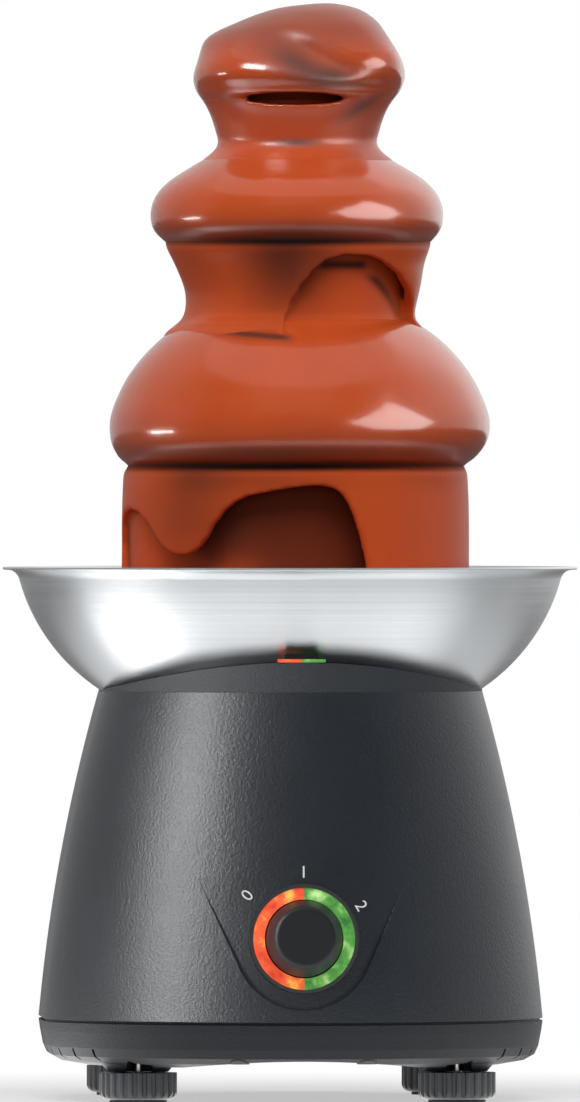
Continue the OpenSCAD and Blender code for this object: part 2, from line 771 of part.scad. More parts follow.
module output_shaft() {
    color("silver") up(tray_z) cylinder(r = shaft_r, h = shaft_top_z - tray_z);
}

// Bowl, spun from sheet with a rolled lip
module bowl_section() {
    lip_dir = (lip_start - bowl_c) / norm(lip_start - bowl_c);
    lip_c = lip_start + lip_dir * lip_curve_r;
    intersection() {
        translate(bowl_c) difference() {
            circle(bowl_curve_r);
            circle(bowl_curve_r - sheet);
        }
        polygon([bowl_c, lip_start + lip_dir * over, [bowl_r, bowl_z], [bowl_floor_r, bowl_z],
            [bowl_floor_r - over, bowl_z]]);
    }
    translate([bowl_hole_r, bowl_z]) square([bowl_floor_r - bowl_hole_r, sheet]);
    intersection() {
        translate(lip_c) difference() {
            circle(lip_in_r);
            circle(lip_curve_r);
        }
        polygon([lip_c, lip_c - lip_dir * 2 * lip_in_r, lip_c + [-2 * lip_in_r, 2 * lip_in_r],
            lip_c + [0, 2 * lip_in_r]]);
    }
    translate([lip_c[0] - hair, lip_c[1] + lip_curve_r]) square([bowl_r - sheet / 2 - lip_c[0], sheet]);
    translate([bowl_r - sheet / 2, lip_c[1] + lip_curve_r + sheet / 2]) circle(sheet / 2);
}
module bowl() { color("lightgray") rotate_extrude() bowl_section(); }

// Heater under the bowl
module heater_plate() {
    color("#b8babd") up(bowl_z - heater_t) ring(heater_r, bush_r + fit_gap, heater_t);
}
element_z = bowl_z - heater_t - element_r;
module heating_element() {
    color("dimgray") up(element_z) {
        rotate(element_open_deg / 2 - 90) rotate_extrude(angle = 360 - element_open_deg)
            translate([element_turn_r, 0]) circle(element_r);
        for (s = [-1, 1]) rotate(s * element_open_deg / 2 - 90) translate([element_turn_r, 0, -terminal_l])
            cylinder(r = terminal_r, h = terminal_l + element_r - fit_gap);
    }
}
module thermostat() {
    color("#8b6b3a") translate([-bush_nut_r - thermostat_r - sensor_gap, 0, bowl_z - heater_t - thermostat_h])
        cylinder(r = thermostat_r, h = thermostat_h);
}
module thermal_fuse() {
    color("white") translate([bush_nut_r + fuse_r + sensor_gap, -fuse_l / 2, bowl_z - heater_t - fuse_r])
        rotate([-90, 0, 0]) cylinder(r = fuse_r, h = fuse_l);
}

// Bush through the bowl, seal, nut and the seat of the tower
module shaft_bush() {
    drop = heater_t + bush_nut_t + sheet;
    color("#ddd8cc") difference() {
        union() {
            up(bowl_z - drop) cylinder(r = bush_r, h = drop + sheet);
            up(bowl_z + sheet) cylinder(r = bush_flange_r, h = bush_flange_t);
        }
        up(bowl_z - drop - over) cylinder(r = shaft_r + run_gap, h = drop + sheet + bush_flange_t + 2 * over);
        up(bowl_z) cylinder(r = bush_r - wall, h = bush_flange_t + sheet + over);
    }
}
module shaft_seal() {
    color("#5a2a20") up(bowl_z) ring(bush_r - wall - fit_gap, shaft_r + run_gap, bush_flange_t + sheet);
}
module bush_nut() {
    color("#ddd8cc") difference() {
        up(bowl_z - heater_t - bush_nut_t) cylinder(r = bush_nut_r, h = bush_nut_t, $fn = 6);
        up(bowl_z - heater_t - bush_nut_t - over) cylinder(r = bush_r + run_gap, h = bush_nut_t + 2 * over);
    }
}
module tower_seat() {
    color("#4a2a1c") up(bowl_z + sheet) {
        ring(seat_r, bush_flange_r + fit_gap, seat_t);
        ring(tube_r + seat_gap + seat_collar_t, tube_r + seat_gap, seat_t + seat_collar_h);
    }
}

// Auger: a helical flight on a core, swept as one closed band
module flight(from_z, to_z) {
    count = floor((to_z - from_z - flight_t) / auger_pitch * auger_steps);
    root_r = (auger_core_r + run_gap) / cos(180 / auger_steps);
    band = [[root_r, 0], [auger_r, 0], [auger_r, flight_t], [root_r, flight_t]];
    m = len(band);
    points = [for (i = [0 : count], b = band) let (a = i * 360 / auger_steps)
        [b[0] * cos(a), b[0] * sin(a), from_z + i * auger_pitch / auger_steps + b[1]]];
    sides = [for (i = [0 : count - 1], k = [0 : m - 1]) let (b = m * i, n = (k + 1) % m)
        each [[b + m + n, b + n, b + k], [b + m + k, b + m + n, b + k]]];
    ends = [[for (k = [0 : m - 1]) k], [for (k = [m - 1 : -1 : 0]) m * count + k]];
    polyhedron(points = points, faces = concat(sides, ends));
}
module auger_flight() { color("#7a3b22") flight(auger_z + auger_hub_h, auger_top_z); }
module auger_core() {
    color("#7a3b22") difference() {
        union() {
            up(auger_z) cylinder(r = auger_core_r, h = auger_top_z - auger_z);
            up(auger_z) cylinder(r = auger_hub_r, h = auger_hub_h - fit_gap);
        }
        up(auger_z - over) cylinder(r = shaft_r + hair, h = auger_hub_h);
    }
}

// Tower: the tube, two tiers and a crown
module tower_tube() {
    color("#d9d6cf") difference() {
        up(tube_z) ring(tube_r, tube_in_r, tube_top_z - tube_z);
        for (i = [0 : inlets - 1]) rotate(i * 360 / inlets - 90) up(tube_z + inlet_lift) rotate([90, 0, 90])
            linear_extrude(2 * tube_r) {
                translate([-inlet_w / 2, 0]) square([inlet_w, inlet_h - inlet_w / 4]);
                translate([0, inlet_h - inlet_w / 2]) circle(inlet_w / 2);
            }
    }
}
module tier(lip_r, lip_z, rise) {
    r = lip_r - film - seat_gap;
    h = rise - film - seat_gap;
    start = tube_r + fit_gap;
    outer = smooth(dome(r, lip_z, h, tier_dome_shares));
    inner = smooth(dome(r - tier_t, lip_z, h - tier_t, tier_dome_shares));
    color("#d9d6cf") rotate_extrude() {
        polygon(concat([[start, lip_z + h]], outer, turned_back(inner), [[start + hub_t, lip_z + h - tier_t],
            [start + hub_t, lip_z + h - hub_h], [start, lip_z + h - hub_h]]));
    }
}
module lower_tier() { tier(lower_r, lower_lip_z, dome_lower); }
module middle_tier() { tier(middle_r, middle_lip_z, dome_middle); }
module crown() {
    rim_z = top_lip_z - crown_drop;
    start = tube_r + fit_gap;
    rim_r = top_r - film - tier_t;
    color("#d9d6cf") rotate_extrude() {
        polygon([[start, rim_z - crown_rise], [start + hub_t, rim_z - crown_rise],
            [start + hub_t, rim_z - crown_rise / 2], [rim_r, rim_z], [rim_r - tier_t, rim_z],
            [start, rim_z - crown_rise / 2 + tier_t]]);
    }
}

// Chocolate: the pool in the bowl and the three curtains, each a film with its lip
module chocolate_pool() {
    color("#8a3418") difference() {
        rotate_extrude() {
            intersection() {
                translate(bowl_c) circle(bowl_curve_r - sheet - fit_gap);
                translate([0, bowl_z + sheet + fit_gap]) square([bowl_r, pool_h - sheet - fit_gap]);
            }
        }
        up(bowl_z) cylinder(r = seat_r + fit_gap, h = seat_t + seat_collar_h + sheet + fit_gap);
        up(bowl_z) cylinder(r = tube_r + seat_gap + seat_collar_t + fit_gap, h = pool_h + over);
    }
}
module curtain(lip_r, z, rise, curtain_r, drop, shares, end_z) {
    start = tube_r + seat_gap;
    outer = smooth(concat(dome(lip_r, z, rise, tier_dome_shares), under(lip_r, z, drop, curtain_r, shares)));
    inner = smooth(concat(dome(lip_r - film, z, rise - film, tier_dome_shares),
        under(lip_r - film, z, drop, curtain_r - film, shares)));
    rotate_extrude() polygon(concat([[start, z + rise]], outer, [[curtain_r, z - drop], [curtain_r, end_z],
        [curtain_r - film, end_z], [curtain_r - film, z - drop]], turned_back(inner),
        [[start, z + rise - film]]));
}
// An arched gap in a curtain, turned round the tower
module window(turn, w, sill_z, crown_z, reach) {
    rotate(turn) up(sill_z) rotate([90, 0, 0]) linear_extrude(reach) {
        translate([0, crown_z - sill_z - w / 2]) circle(w / 2);
        if (crown_z - sill_z > w / 2) translate([-w / 2, 0]) square([w, crown_z - sill_z - w / 2]);
    }
}
module chocolate_lower() {
    color("#b8481f") difference() {
        curtain(lower_r, lower_lip_z, dome_lower, curtain_lower_r, under_lower, lower_under_shares,
            pool_z + seat_gap);
        window(front_gap_turn, front_gap_w, pool_z, lower_lip_z - front_gap_drop, lower_r + over);
        window(side_gap_turn, side_gap_w, pool_z, lower_lip_z - side_gap_drop, lower_r + over);
    }
}
module chocolate_middle() {
    color("#b8481f") difference() {
        curtain(middle_r, middle_lip_z, dome_middle, curtain_middle_r, under_middle, middle_under_shares,
            lower_top_z);
        intersection() {
            window(waist_gap_turn, waist_gap_w, lower_top_z - over, lower_top_z + waist_gap_h,
                middle_r + over);
            up(lower_top_z) cylinder(r = middle_r, h = dome_middle);
        }
    }
}
module chocolate_cap() {
    outer = smooth(concat([[hair, top_lip_z + dome_top]], dome(top_r, top_lip_z, dome_top, cap_dome_shares),
        under(top_r, top_lip_z, under_top, curtain_top_r, top_under_shares),
        [[curtain_top_r, middle_top_z]]));
    inner = smooth(concat(dome(top_r - film, top_lip_z, cap_hollow, cap_hollow_shares),
        under(top_r - film, top_lip_z, under_top, curtain_top_r - film, top_under_shares),
        [[curtain_top_r - film, middle_top_z]]));
    color("#b8481f") rotate_extrude()
        polygon(concat([[0, top_lip_z + dome_top]], outer, turned_back(inner),
            [[0, top_lip_z + cap_hollow]]));
}

foot_sole(-1, -1);  // foot_sole_fl
foot_sole(1, -1);  // foot_sole_fr
foot_sole(-1, 1);  // foot_sole_bl
foot_sole(1, 1);  // foot_sole_br
foot_wheel(-1, -1);  // foot_wheel_fl
foot_wheel(1, -1);  // foot_wheel_fr
foot_wheel(-1, 1);  // foot_wheel_bl
foot_wheel(1, 1);  // foot_wheel_br
foot_screw(-1, -1);  // foot_screw_fl
foot_screw(1, -1);  // foot_screw_fr
foot_screw(-1, 1);  // foot_screw_bl
foot_screw(1, 1);  // foot_screw_br
foot_inserts();
bottom_cover();
main_housing();
housing_screws();
cord_gland();
top_cover();
lamp_hood();
lamp_lens_red();
lamp_lens_green();
dial_bezel();
dial_ring_red();
dial_ring_green();
switch_nut();
rotary_switch();
switch_shaft();
knob();
motor_bracket();
bracket_screws();
motor_stator();
motor_coil();
motor_frame();
motor_rotor();
motor_pinion();
gearbox_housing();
gearbox_cover();
idler_pin();
idler_gear();
output_gear();
output_shaft();
bowl();
heater_plate();
heating_element();
thermostat();
thermal_fuse();
shaft_bush();
shaft_seal();
bush_nut();
tower_seat();
auger_core();
auger_flight();
tower_tube();
lower_tier();
middle_tier();
crown();
chocolate_pool();
chocolate_lower();
chocolate_middle();
chocolate_cap();
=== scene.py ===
# %% [markdown]
# # A chocolate fountain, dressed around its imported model
# This lesson takes the solids of a table-top chocolate fountain and gives them the looks of the real thing:
# molten chocolate, a satin steel bowl, charcoal plastic with a fine grain, and a dial with a lit ring. The
# solids come first, because every new piece has to sit on them and move with them.

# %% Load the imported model
import bpy
import bmesh
import math
from mathutils import Matrix, Vector, noise
from mathutils.bvhtree import BVHTree


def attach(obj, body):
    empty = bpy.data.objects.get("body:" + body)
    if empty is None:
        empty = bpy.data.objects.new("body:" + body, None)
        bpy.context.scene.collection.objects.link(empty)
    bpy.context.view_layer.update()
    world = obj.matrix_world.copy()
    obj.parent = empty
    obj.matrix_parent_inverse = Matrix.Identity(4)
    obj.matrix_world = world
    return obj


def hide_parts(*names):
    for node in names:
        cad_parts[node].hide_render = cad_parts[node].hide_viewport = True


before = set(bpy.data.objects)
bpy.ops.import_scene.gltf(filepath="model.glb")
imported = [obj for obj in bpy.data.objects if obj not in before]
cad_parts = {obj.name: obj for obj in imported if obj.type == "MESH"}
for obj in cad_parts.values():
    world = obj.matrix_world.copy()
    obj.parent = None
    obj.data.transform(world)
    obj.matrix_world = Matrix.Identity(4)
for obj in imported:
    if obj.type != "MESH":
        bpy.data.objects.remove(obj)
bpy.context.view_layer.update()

# %% [markdown]
# ## The camera
# The photograph was taken from far away with a long lens, level with the rim of the bowl, and the fountain
# is turned a little, so the dial sits right of the middle. A far camera with a long lens gives the same
# flat perspective.

# %% Put up the camera
MM = 0.001
TURN = math.radians(2.7)
CAMERA_DISTANCE = 9.3
CAMERA_HEIGHT = 0.231
PICTURE_HEIGHT = 0.3857
PICTURE_MIDDLE = Vector((0, 0, 0.1916))

camera = bpy.data.objects.new("camera", bpy.data.cameras.new("camera"))
bpy.context.scene.collection.objects.link(camera)
bpy.context.scene.camera = camera
camera.location = (-CAMERA_DISTANCE * math.sin(TURN), -CAMERA_DISTANCE * math.cos(TURN), CAMERA_HEIGHT)
camera.rotation_euler = (PICTURE_MIDDLE - camera.location).to_track_quat("-Z", "Y").to_euler()
camera.data.lens = camera.data.sensor_width * (camera.location - PICTURE_MIDDLE).length / PICTURE_HEIGHT
camera.data.clip_end = 60
print("lens", round(camera.data.lens), "mm at", round(camera.location.length, 2), "m")

# %% [markdown]
# ## Writing shaders as sums
# A finish is a small network of nodes. Wiring each Math node by hand hides the thought behind it, so one
# class wraps an output and lets Python's operators add the Math nodes. A second class holds a material and
# its one method for every other kind of node.

# %% Two helpers for materials
def plug(tree, entry, value):
    """Give a node's input a value, or a wire from another node."""
    if isinstance(value, Wire):
        tree.links.new(value.output, entry)
    else:
        entry.default_value = value


class Wire:
    """A node's output that can be used in sums."""

    def __init__(self, tree, output):
        self.tree, self.output = tree, output

    def math(self, operation, *values):
        """Add a Math node on these values and give its result."""
        node = self.tree.nodes.new("ShaderNodeMath")
        node.operation = operation
        for entry, value in zip(node.inputs, values):
            plug(self.tree, entry, value)
        return Wire(self.tree, node.outputs[0])

    def __add__(self, other):
        return self.math("ADD", self, other)

    def __radd__(self, other):
        return self.math("ADD", other, self)

    def __sub__(self, other):
        return self.math("SUBTRACT", self, other)

    def __rsub__(self, other):
        return self.math("SUBTRACT", other, self)

    def __mul__(self, other):
        return self.math("MULTIPLY", self, other)

    def __rmul__(self, other):
        return self.math("MULTIPLY", other, self)

    def __truediv__(self, other):
        return self.math("DIVIDE", self, other)

    def __pow__(self, other):
        return self.math("POWER", self, other)


class Finish:
    """A material with one Principled shader, and a method that adds any other node."""

    def __init__(self, name, **constants):
        self.material = bpy.data.materials.new(name)
        self.material.use_nodes = True
        self.tree = self.material.node_tree
        self.shader = self.tree.nodes["Principled BSDF"]
        self.feed(**constants)

    def feed(self, **sockets):
        for name, value in sockets.items():
            plug(self.tree, self.shader.inputs[name.replace("_", " ")], value)

    def add(self, kind, settings=None, output=0, **values):
        """Add a node. An input is given by its name, or as i and its number where names repeat."""
        node = self.tree.nodes.new("ShaderNode" + kind)
        for key, value in (settings or {}).items():
            if key == "stops":
                for position, colour in value[2:]:
                    node.color_ramp.elements.new(position)
                for element, (position, colour) in zip(node.color_ramp.elements, sorted(value)):
                    element.position, element.color = position, colour
            else:
                setattr(node, key, value)
        for name, value in values.items():
            numbered = name[0] == "i" and name[1:].isdigit()
            entry = int(name[1:]) if numbered else name.replace("_", " ")
            plug(self.tree, node.inputs[entry], value)
        return Wire(self.tree, node.outputs[output])

    def place(self):
        return self.add("TexCoord", output="Object")

    def noise(self, scale, detail=2.0, vector=None):
        return self.add("TexNoise", Vector=vector or self.place(), Scale=scale, Detail=detail, output="Fac")

    def bump(self, height, distance, strength=1.0, normal=None):
        more = {"Normal": normal} if normal else {}
        return self.add("Bump", Height=height, Distance=distance, Strength=strength, **more)

    def ramp(self, factor, *stops):
        return self.add("ValToRGB", {"stops": list(stops)}, Fac=factor, output="Color")

    def mix(self, factor, a, b):
        return self.add("Mix", {"data_type": "RGBA"}, output=2, i0=factor, i6=a, i7=b)


def grey(level):
    """A grey colour."""
    return (level, level, level, 1)


print("material helpers ready")

# %% [markdown]
# ## Moulded plastic
# The housing is moulded in a tool with an eroded surface, so it has a grain of about a millimetre that
# breaks the light up. Two sizes of noise in a bump give that grain, and a slow noise keeps the gloss from
# being the same all over. A Bevel node rounds the sharp edges, because real ones always catch a little
# light.

# %% Plastics
CLOUD_SCALE = 28.0
FINER = 2.7


def plastic(name, colour, grain=0.00045, depth=0.00005, rough=0.55, uneven=0.1, edge=0.0003, speckle=0.2,
            **more):
    """A grained plastic. The grain's size and depth and the radius of the edges are in metres."""
    finish = Finish(name, **more)
    slow = finish.noise(CLOUD_SCALE, 3.0)
    fine = finish.noise(1 / grain, 3.0)
    finer = finish.noise(FINER / grain, 1.0)
    darker = tuple((1 - speckle) * c for c in colour) + (1,)
    lighter = tuple(min(1, (1 + speckle) * c) for c in colour) + (1,)
    rounded = finish.add("Bevel", {"samples": 4}, Radius=edge)
    finish.feed(Base_Color=finish.mix(fine * 0.6 + slow * 0.4, darker, lighter),
                Roughness=slow * uneven + (rough - uneven / 2),
                Normal=finish.bump(fine + finer * 0.5, depth, normal=rounded))
    return finish.material


charcoal = plastic("charcoal_plastic", (0.0130, 0.0165, 0.0220), grain=0.0011, depth=0.00016, rough=0.42,
                   speckle=0.5)
base_charcoal = plastic("base_plastic", (0.0095, 0.0125, 0.0165), grain=0.0007, depth=0.00022, rough=0.45,
                        speckle=0.5, Specular_IOR_Level=0.3)
cover_charcoal = plastic("cover_plastic", (0.022, 0.026, 0.032), grain=0.0006, depth=0.00020, rough=0.6,
                         speckle=0.5)
wheel_black = plastic("wheel_plastic", (0.095, 0.103, 0.115), grain=0.0006, depth=0.00002, rough=0.26)
knob_black = plastic("knob_plastic", (0.014, 0.0155, 0.018), grain=0.0004, depth=0.000008, rough=0.42,
                     uneven=0.06, edge=0.001, Specular_IOR_Level=0.35)
trim_black = plastic("trim_plastic", (0.012, 0.012, 0.013), grain=0.0008, depth=0.000005, rough=0.25,
                     uneven=0.06)
cream = plastic("cream_plastic", (0.62, 0.58, 0.48), depth=0.00002, rough=0.5)
natural = plastic("gear_plastic", (0.72, 0.70, 0.63), depth=0.00001, rough=0.45)
rubber = plastic("rubber", (0.075, 0.08, 0.085), grain=0.0009, depth=0.00004, rough=0.8)
seal_rubber = plastic("seal_rubber", (0.10, 0.03, 0.02), grain=0.0009, depth=0.00004, rough=0.7)
ceramic = plastic("ceramic", (0.75, 0.73, 0.68), depth=0.00001, rough=0.3)
sensor_brown = plastic("sensor_plastic", (0.16, 0.09, 0.04), depth=0.00002, rough=0.4)
print_white = plastic("dial_print", (0.86, 0.86, 0.84), grain=0.0003, depth=0.000004, rough=0.45)
print_salmon = plastic("index_print", (0.90, 0.38, 0.26), grain=0.0003, depth=0.000004, rough=0.45)
print("plastics ready")

# %% [markdown]
# ## Metals
# The bowl is spun from stainless sheet and brushed round, so its fine lines run round the axis. Noise that
# is stretched along the circle gives such lines: it reads the height and the radius, and not the angle.

# %% Steel, brass and the other metals
def brushed(name, colour, rough, line=0.00035, depth=0.000004, uneven=0.12, **more):
    """A metal with fine lines round the axis. The lines' spacing and depth are in metres."""
    finish = Finish(name, Metallic=1.0, **more)
    split = finish.add("SeparateXYZ", Vector=finish.place(), output="X")
    parts = [Wire(finish.tree, out) for out in split.output.node.outputs]
    radius = (parts[0] ** 2 + parts[1] ** 2) ** 0.5
    rounds = finish.add("CombineXYZ", X=radius, Y=parts[2], Z=0.0)
    lines = finish.noise(1 / line, 2.0, rounds)
    cloud = finish.noise(40.0, 3.0)
    tint = finish.mix(lines * 0.5 + cloud * 0.5, tuple(0.88 * c for c in colour) + (1,),
                      tuple(min(1, 1.1 * c) for c in colour) + (1,))
    finish.feed(Base_Color=tint, Roughness=lines * uneven + cloud * uneven * 0.5 + (rough - 0.75 * uneven),
                Normal=finish.bump(lines, depth))
    return finish.material


bowl_steel = brushed("bowl_steel", (0.72, 0.745, 0.765), 0.42, line=0.0009, depth=0.000012, uneven=0.2,
                     Anisotropic=0.85, Anisotropic_Rotation=0.25)
zinc_steel = brushed("zinc_steel", (0.70, 0.70, 0.70), 0.25)
dark_steel = brushed("dark_steel", (0.16, 0.16, 0.17), 0.5)
core_steel = brushed("core_steel", (0.24, 0.25, 0.27), 0.5, line=0.0006, depth=0.00003)
aluminium = brushed("aluminium", (0.78, 0.79, 0.80), 0.4)
brass = brushed("brass", (0.72, 0.50, 0.20), 0.28)
copper = brushed("copper", (0.70, 0.26, 0.12), 0.3, line=0.0007, depth=0.00005)
bezel_grey = brushed("bezel_grey", (0.55, 0.56, 0.58), 0.16, depth=0.0000005, uneven=0.03)
print("metals ready")

# %% [markdown]
# ## Molten chocolate
# Warm milk chocolate is glossy and a little see-through, so it glows orange where the light comes in and
# goes dark in its folds. A base colour with slow streaks, a thin coat for the sharp highlights, and a touch
# of light under the surface give that. The streaks are long upwards, because the chocolate runs down. Two
# numbers that each flow keeps at its points do the rest: the first is painted shade, which darkens the colour
# in the creases, under the lips, inside the openings and where one part casts its shadow on another, and
# `satin` dulls the thin curtains.

# %% Chocolate
# A near-black brown that painted shade mixes into the chocolate's colour, where creases, lips and openings
# lie in shade and where parts cast shadows.
PAINTED_SHADE_BROWN = (0.020, 0.012, 0.011, 1)
LIGHT_BROWN, DARK_BROWN = (0.58, 0.090, 0.020), (0.46, 0.062, 0.012)


def chocolate(name, light, dark, rough=0.2, shine=0.5):
    """Chocolate with streaks between two colours. The shine is that of its bare surface, without the coat."""
    finish = Finish(name, Coat_Roughness=0.05, Specular_IOR_Level=shine,
                    Subsurface_Weight=0.3, Subsurface_Radius=(1.0, 0.2, 0.06), Subsurface_Scale=0.004)
    # The first point number is painted shade: it darkens the colour towards that brown and dulls the coat's
    # gloss there.
    fold = finish.add("Attribute", {"attribute_name": "fold"}, output="Fac")
    satin = finish.add("Attribute", {"attribute_name": "satin"}, output="Fac")
    runs = finish.add("Mapping", Vector=finish.place(), Scale=(1.0, 1.0, 0.22))
    streaks = finish.noise(70.0, 4.0, runs)
    cloud = finish.noise(24.0, 2.0)
    colour = finish.mix(streaks * 0.6 + cloud * 0.4, dark + (1,), light + (1,))
    finish.feed(Base_Color=finish.mix(fold, colour, PAINTED_SHADE_BROWN),
                Coat_Weight=(1 - satin) * (1 - fold) * 0.3,
                Roughness=streaks * 0.1 + (rough - 0.05) + satin * 0.2 + fold * 0.4,
                Normal=finish.bump(streaks, 0.0006, 0.35))
    return finish.material


melted = chocolate("melted_chocolate", LIGHT_BROWN, DARK_BROWN)
falling = chocolate("falling_chocolate", LIGHT_BROWN, DARK_BROWN, rough=0.25, shine=0.16)
coated = chocolate("coated_plastic", (0.40, 0.055, 0.014), (0.30, 0.036, 0.010), rough=0.5)
print("chocolate ready")

# %% [markdown]
# ## Lit lenses
# The ring and the two lamps are clear plastic with little lamps behind them. The light is strongest in
# spots, so a noise turns the glow from deep colour to nearly yellow, and the surface itself stays glossy.

# %% Lenses
def lens(name, deep, bright, spot, glow):
    """A lit lens whose colour goes from deep over bright to its spots."""
    finish = Finish(name, Roughness=0.2, Emission_Strength=glow)
    spots = finish.noise(150.0, 2.0)
    fine = finish.noise(620.0, 2.0)
    colour = finish.ramp(spots * 0.75 + fine * 0.25,
                         (0.34, deep + (1,)), (0.72, spot + (1,)), (0.55, bright + (1,)))
    finish.feed(Base_Color=finish.mix(0.5, colour, grey(0.05)), Emission_Color=colour)
    return finish.material


lens_red = lens("lens_red", (0.62, 0.030, 0.010), (0.90, 0.12, 0.030), (1.0, 0.62, 0.08), 0.85)
lens_green = lens("lens_green", (0.010, 0.11, 0.02), (0.10, 0.36, 0.06), (0.50, 0.80, 0.28), 0.75)
print("lenses ready")

# %% [markdown]
# ## The nodes that stay
# Hard parts such as the housing, the gears and the screws already have their real shape in the packed
# model, so they only get a finish. Each material goes into the node's own slots.

# %% Finish the nodes
FINISHES = {
    rubber: "foot_sole_fl foot_sole_fr foot_sole_bl foot_sole_br",
    wheel_black: "foot_wheel_fl foot_wheel_fr foot_wheel_bl foot_wheel_br cord_gland",
    zinc_steel: "foot_screw_fl foot_screw_fr foot_screw_bl foot_screw_br bracket_screws switch_nut "
                "switch_shaft idler_pin output_shaft motor_bracket motor_frame motor_rotor",
    brass: "foot_inserts motor_pinion",
    charcoal: "main_housing",
    base_charcoal: "bottom_cover",
    cover_charcoal: "top_cover",
    trim_black: "lamp_hood",
    bezel_grey: "dial_bezel",
    knob_black: "knob",
    lens_red: "lamp_lens_red dial_ring_red",
    lens_green: "lamp_lens_green dial_ring_green",
    cream: "rotary_switch shaft_bush bush_nut",
    core_steel: "motor_stator",
    copper: "motor_coil",
    natural: "idler_gear output_gear gearbox_housing gearbox_cover",
    bowl_steel: "bowl",
    aluminium: "heater_plate",
    dark_steel: "heating_element housing_screws",
    sensor_brown: "thermostat",
    ceramic: "thermal_fuse",
    seal_rubber: "shaft_seal",
    coated: "tower_seat auger_core auger_flight tower_tube lower_tier middle_tier crown",
    melted: "chocolate_pool chocolate_lower chocolate_middle chocolate_cap",
}
finished = 0
for material, names in FINISHES.items():
    for name in names.split():
        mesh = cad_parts[name].data
        mesh.materials.clear()
        mesh.materials.append(material)
        finished += 1
print("finished", finished, "of", len(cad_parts), "nodes")

# %% [markdown]
# ## Making a piece
# Most shapes here are turned: a profile is drawn beside the axis and spun round it. The maker below spins a
# profile, closes the seam and the poles, and turns the faces outwards. A second maker puts the mesh in the
# scene, and a third says which body it rides on, gives it its finish and hides the nodes that it stands for.

# %% Makers for turned pieces
SEAM = 0.00001


def spun(profile, steps=180):
    """Spin a closed profile of (radius, height) in millimetres round the axis."""
    bm = bmesh.new()
    points = [bm.verts.new((r * MM, 0, z * MM)) for r, z in profile]
    edges = [bm.edges.new(pair) for pair in zip(points, points[1:] + points[:1])]
    bmesh.ops.spin(bm, geom=points + edges, axis=(0, 0, 1), angle=math.tau, steps=steps, use_merge=True)
    bmesh.ops.remove_doubles(bm, verts=bm.verts, dist=SEAM)
    bmesh.ops.recalc_face_normals(bm, faces=bm.faces)
    return bm


def moved(bm, mover):
    """Move every vertex by a rule that takes and gives a place."""
    for v in bm.verts:
        v.co = mover(v.co)
    return bm


def rest(bm, name, smooth=True):
    """Turn a bmesh into an object at the origin."""
    mesh = bpy.data.meshes.new(name)
    bm.to_mesh(mesh)
    bm.free()
    mesh.polygons.foreach_set("use_smooth", [smooth] * len(mesh.polygons))
    piece = bpy.data.objects.new(name, mesh)
    bpy.context.scene.collection.objects.link(piece)
    return piece


def modified(piece, *steps):
    """Apply modifiers, given as (type, settings), to a piece's mesh."""
    for kind, settings in steps:
        modifier = piece.modifiers.new(kind.lower(), kind)
        for key, value in settings.items():
            setattr(modifier, key, value)
    graph = bpy.context.evaluated_depsgraph_get()
    mesh = bpy.data.meshes.new_from_object(piece.evaluated_get(graph))
    piece.modifiers.clear()
    piece.data = mesh
    mesh.polygons.foreach_set("use_smooth", [True] * len(mesh.polygons))
    return piece


def dress(piece, material, body, slot, *stands_for):
    """Give a piece its finish and its body, and hide the nodes that it stands for. The slot is not used."""
    piece.data.materials.clear()
    piece.data.materials.append(material)
    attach(piece, body)
    if stands_for:
        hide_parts(*stands_for)
    print(piece.name, len(piece.data.polygons), "faces on", body)


print("makers ready")

# %% [markdown]
# ## Curves through a few points
# The tiers of chocolate have soft profiles. A few measured points are enough where a smooth curve is laid
# through them. Two small functions, a soft step and a soft hill, say where on a flow a lump, a crease or a
# shade begins and ends, by its heading and its height.

# %% Smooth runs of points
def smooth_run(points, between=4):
    """Points on a smooth curve through the given ones."""
    run = []
    for i in range(len(points) - 1):
        a, b, c, d = (Vector(points[min(max(i + k, 0), len(points) - 1)]) for k in (-1, 0, 1, 2))
        for k in range(between):
            t = k / between
            run.append((2 * b + (c - a) * t + (2 * a - 5 * b + 4 * c - d) * t ** 2
                        + (3 * b - a - 3 * c + d) * t ** 3) / 2)
    return [tuple(p) for p in run] + [tuple(points[-1])]


def step(low, high, value):
    """From 0 at low to 1 at high, without a kink."""
    t = min(1, max(0, (value - low) / (high - low)))
    return t * t * (3 - 2 * t)


def hill(centre, width, value):
    """A soft bump of height 1 round a centre."""
    return math.exp(-((value - centre) / width) ** 2)


def heading(co):
    """Degrees round from the front, as the camera sees it, positive to the right."""
    return math.degrees(math.atan2(co.x, -co.y) + TURN)


print("curve helpers ready")

# %% [markdown]
# ## The curtains of chocolate
# Chocolate wells up in the tube, runs over each tier and falls from its edge as a curtain that breaks open
# in places. Each curtain is a closed wall, spun from its outer and inner profile. Lumps are moved in by
# simple rules, the openings are cut out with a Boolean, and a voxel remesh with a smoothing step rounds
# every edge as surface tension does. Behind the two lower curtains a second film of chocolate shows through
# the openings.

# %% Profiles, lumps and openings
WALL = 3.6
SOFTENING = 4
NEAR_AXIS = 0.002


def wall(outer):
    """A closed profile from an outer run and the same run moved inwards by the wall's thickness."""
    inner = [(max(r - WALL, 0.0), z) for r, z in outer]
    return outer + inner[::-1]


def opening(outline, near, far):
    """A cutter for an opening: an outline of (heading, height) that reaches from one radius to another."""
    bm = bmesh.new()
    points = []
    for angle, z in outline:
        a = math.radians(angle) - TURN
        points.append(bm.verts.new((near * math.sin(a) * MM, -near * math.cos(a) * MM, z * MM)))
    face = bm.faces.new(points)
    pushed = bmesh.ops.extrude_face_region(bm, geom=[face])
    grow = far / near
    for v in [g for g in pushed["geom"] if isinstance(g, bmesh.types.BMVert)]:
        v.co.x *= grow
        v.co.y *= grow
    bmesh.ops.triangulate(bm, faces=[f for f in bm.faces if len(f.verts) > 4])
    bmesh.ops.recalc_face_normals(bm, faces=bm.faces)
    return rest(bm, "cutter", smooth=False)


